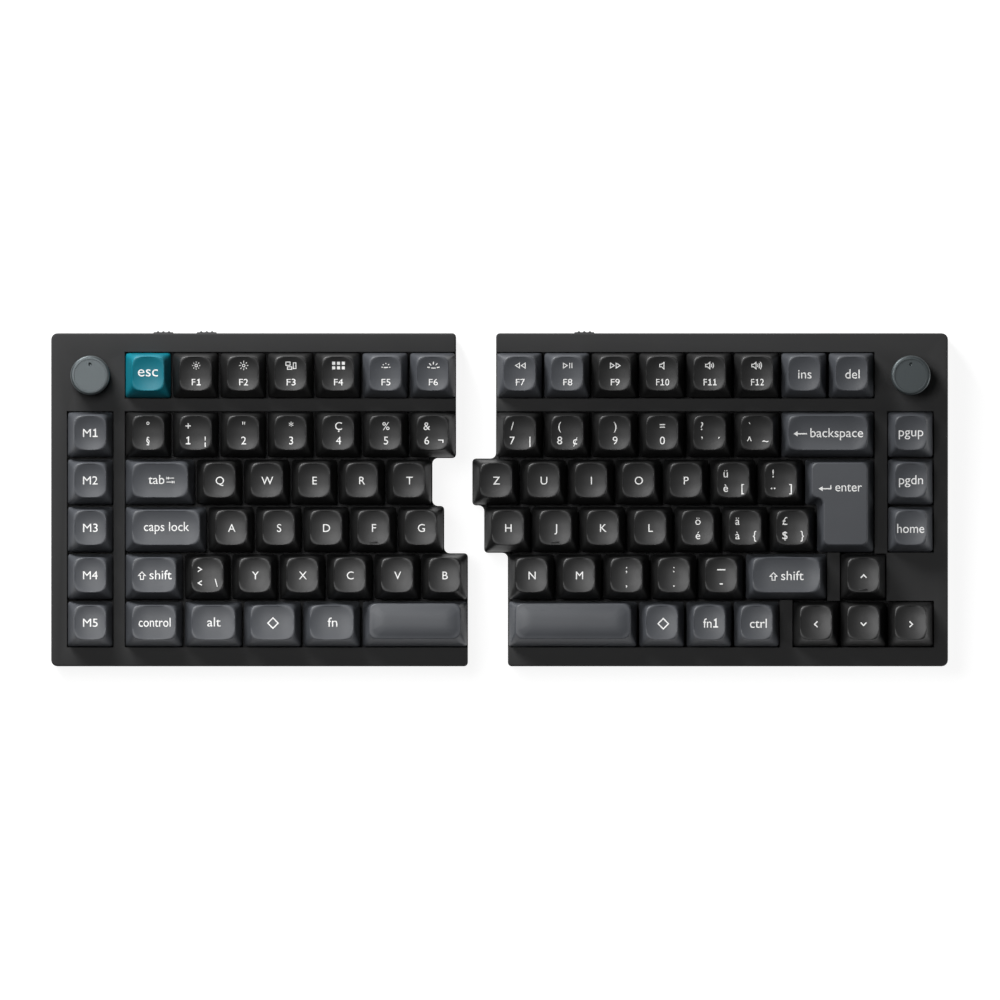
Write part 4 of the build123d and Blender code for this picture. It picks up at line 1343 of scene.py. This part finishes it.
class SPLITKEYBOARD_OT_set_stage(Operator):
    """Add the pale floor, the soft lights and the camera above the deck"""

    bl_idname = "split_keyboard.set_stage"
    bl_label = "Set Stage"

    def execute(self, context):
        sizes = context.scene.split_keyboard_stage
        clear_selection()
        bpy.ops.mesh.primitive_plane_add(size=sizes.floor_size)
        floor = context.object
        floor.name = "floor"
        paper, shader = plain_finish("floor_light_table", (0.25, 0.25, 0.25), 0.9)
        shader.inputs["Emission Color"].default_value = (1, 1, 1, 1)
        shader.inputs["Emission Strength"].default_value = 0.9
        add_relief(paper, shader, add_noise(paper, 0.004, 3.0), depth=0.00005, strength=0.2)
        floor.data.materials.append(paper)

        normal = Vector((0, -math.sin(TYPING_ANGLE), math.cos(TYPING_ANGLE)))
        view_middle = Vector((0.18, -0.1, 7.4))
        target = deck_matrix() @ view_middle
        view = bpy.data.cameras.new("camera")
        view.sensor_width = 36.0
        view.lens = view.sensor_width * sizes.camera_distance / sizes.view_width
        view.clip_end = 100.0
        camera = bpy.data.objects.new("camera", view)
        context.scene.collection.objects.link(camera)
        camera.location = target + normal * sizes.camera_distance
        camera.rotation_euler = (TYPING_ANGLE, 0, 0)
        context.scene.camera = camera

        for name, place, size, power in (
            ("key_light", (-0.45, 0.66, 0.42), 0.4, sizes.key_power),
            ("top_light", (-0.36, 0.14, 1.3), 0.5, sizes.top_power),
            ("side_light", (1.1, -0.25, 0.25), 0.4, sizes.side_power),
        ):
            lamp = bpy.data.lights.new(name, "AREA")
            lamp.size = size
            lamp.energy = power
            light = bpy.data.objects.new(name, lamp)
            context.scene.collection.objects.link(light)
            light.location = place
            light.rotation_euler = (-light.location).to_track_quat("-Z", "Y").to_euler()

        world = bpy.data.worlds.new("studio")
        world.use_nodes = True
        background = world.node_tree.nodes["Background"]
        background.inputs["Color"].default_value = (0.97, 0.985, 1.0, 1)
        background.inputs["Strength"].default_value = sizes.fill_strength
        context.scene.world = world
        context.scene.view_settings.view_transform = "Standard"
        context.scene.view_settings.look = "None"
        return {"FINISHED"}


OPERATORS = (
    SPLITKEYBOARD_OT_set_stage,
    SPLITKEYBOARD_OT_add_cases,
    SPLITKEYBOARD_OT_add_caps,
    SPLITKEYBOARD_OT_add_legends,
    SPLITKEYBOARD_OT_add_knobs,
    SPLITKEYBOARD_OT_add_slider_caps,
    SPLITKEYBOARD_OT_add_screws,
    SPLITKEYBOARD_OT_add_feet,
    SPLITKEYBOARD_OT_finish_inner_parts,
)
GROUPS = {
    "split_keyboard_caps": SPLITKEYBOARD_PG_caps,
    "split_keyboard_trim": SPLITKEYBOARD_PG_trim,
    "split_keyboard_colours": SPLITKEYBOARD_PG_colours,
    "split_keyboard_stage": SPLITKEYBOARD_PG_stage,
}


class SPLITKEYBOARD_PT_panel(Panel):
    """Sizes, colours and makers of the split keyboard"""

    bl_idname = "SPLITKEYBOARD_PT_panel"
    bl_label = "Split Keyboard"
    bl_space_type = "VIEW_3D"
    bl_region_type = "UI"
    bl_category = "Split Keyboard"

    def draw(self, context):
        for group_name, group in GROUPS.items():
            box = self.layout.box()
            for setting in group.__annotations__:
                box.prop(getattr(context.scene, group_name), setting)
        for operator in OPERATORS:
            self.layout.operator(operator.bl_idname)


def register():
    """Add the classes and the settings."""
    for group_name, group in GROUPS.items():
        bpy.utils.register_class(group)
        setattr(bpy.types.Scene, group_name, PointerProperty(type=group))
    for operator in OPERATORS:
        bpy.utils.register_class(operator)
    bpy.utils.register_class(SPLITKEYBOARD_PT_panel)


def unregister():
    """Take the classes and the settings away again."""
    bpy.utils.unregister_class(SPLITKEYBOARD_PT_panel)
    for operator in reversed(OPERATORS):
        bpy.utils.unregister_class(operator)
    for group_name, group in reversed(GROUPS.items()):
        delattr(bpy.types.Scene, group_name)
        bpy.utils.unregister_class(group)


def main():
    """Make the whole object."""
    register()
    for operator in OPERATORS:
        family, name = operator.bl_idname.split(".")
        getattr(getattr(bpy.ops, family), name)()


if __name__ == "__main__":
    main()
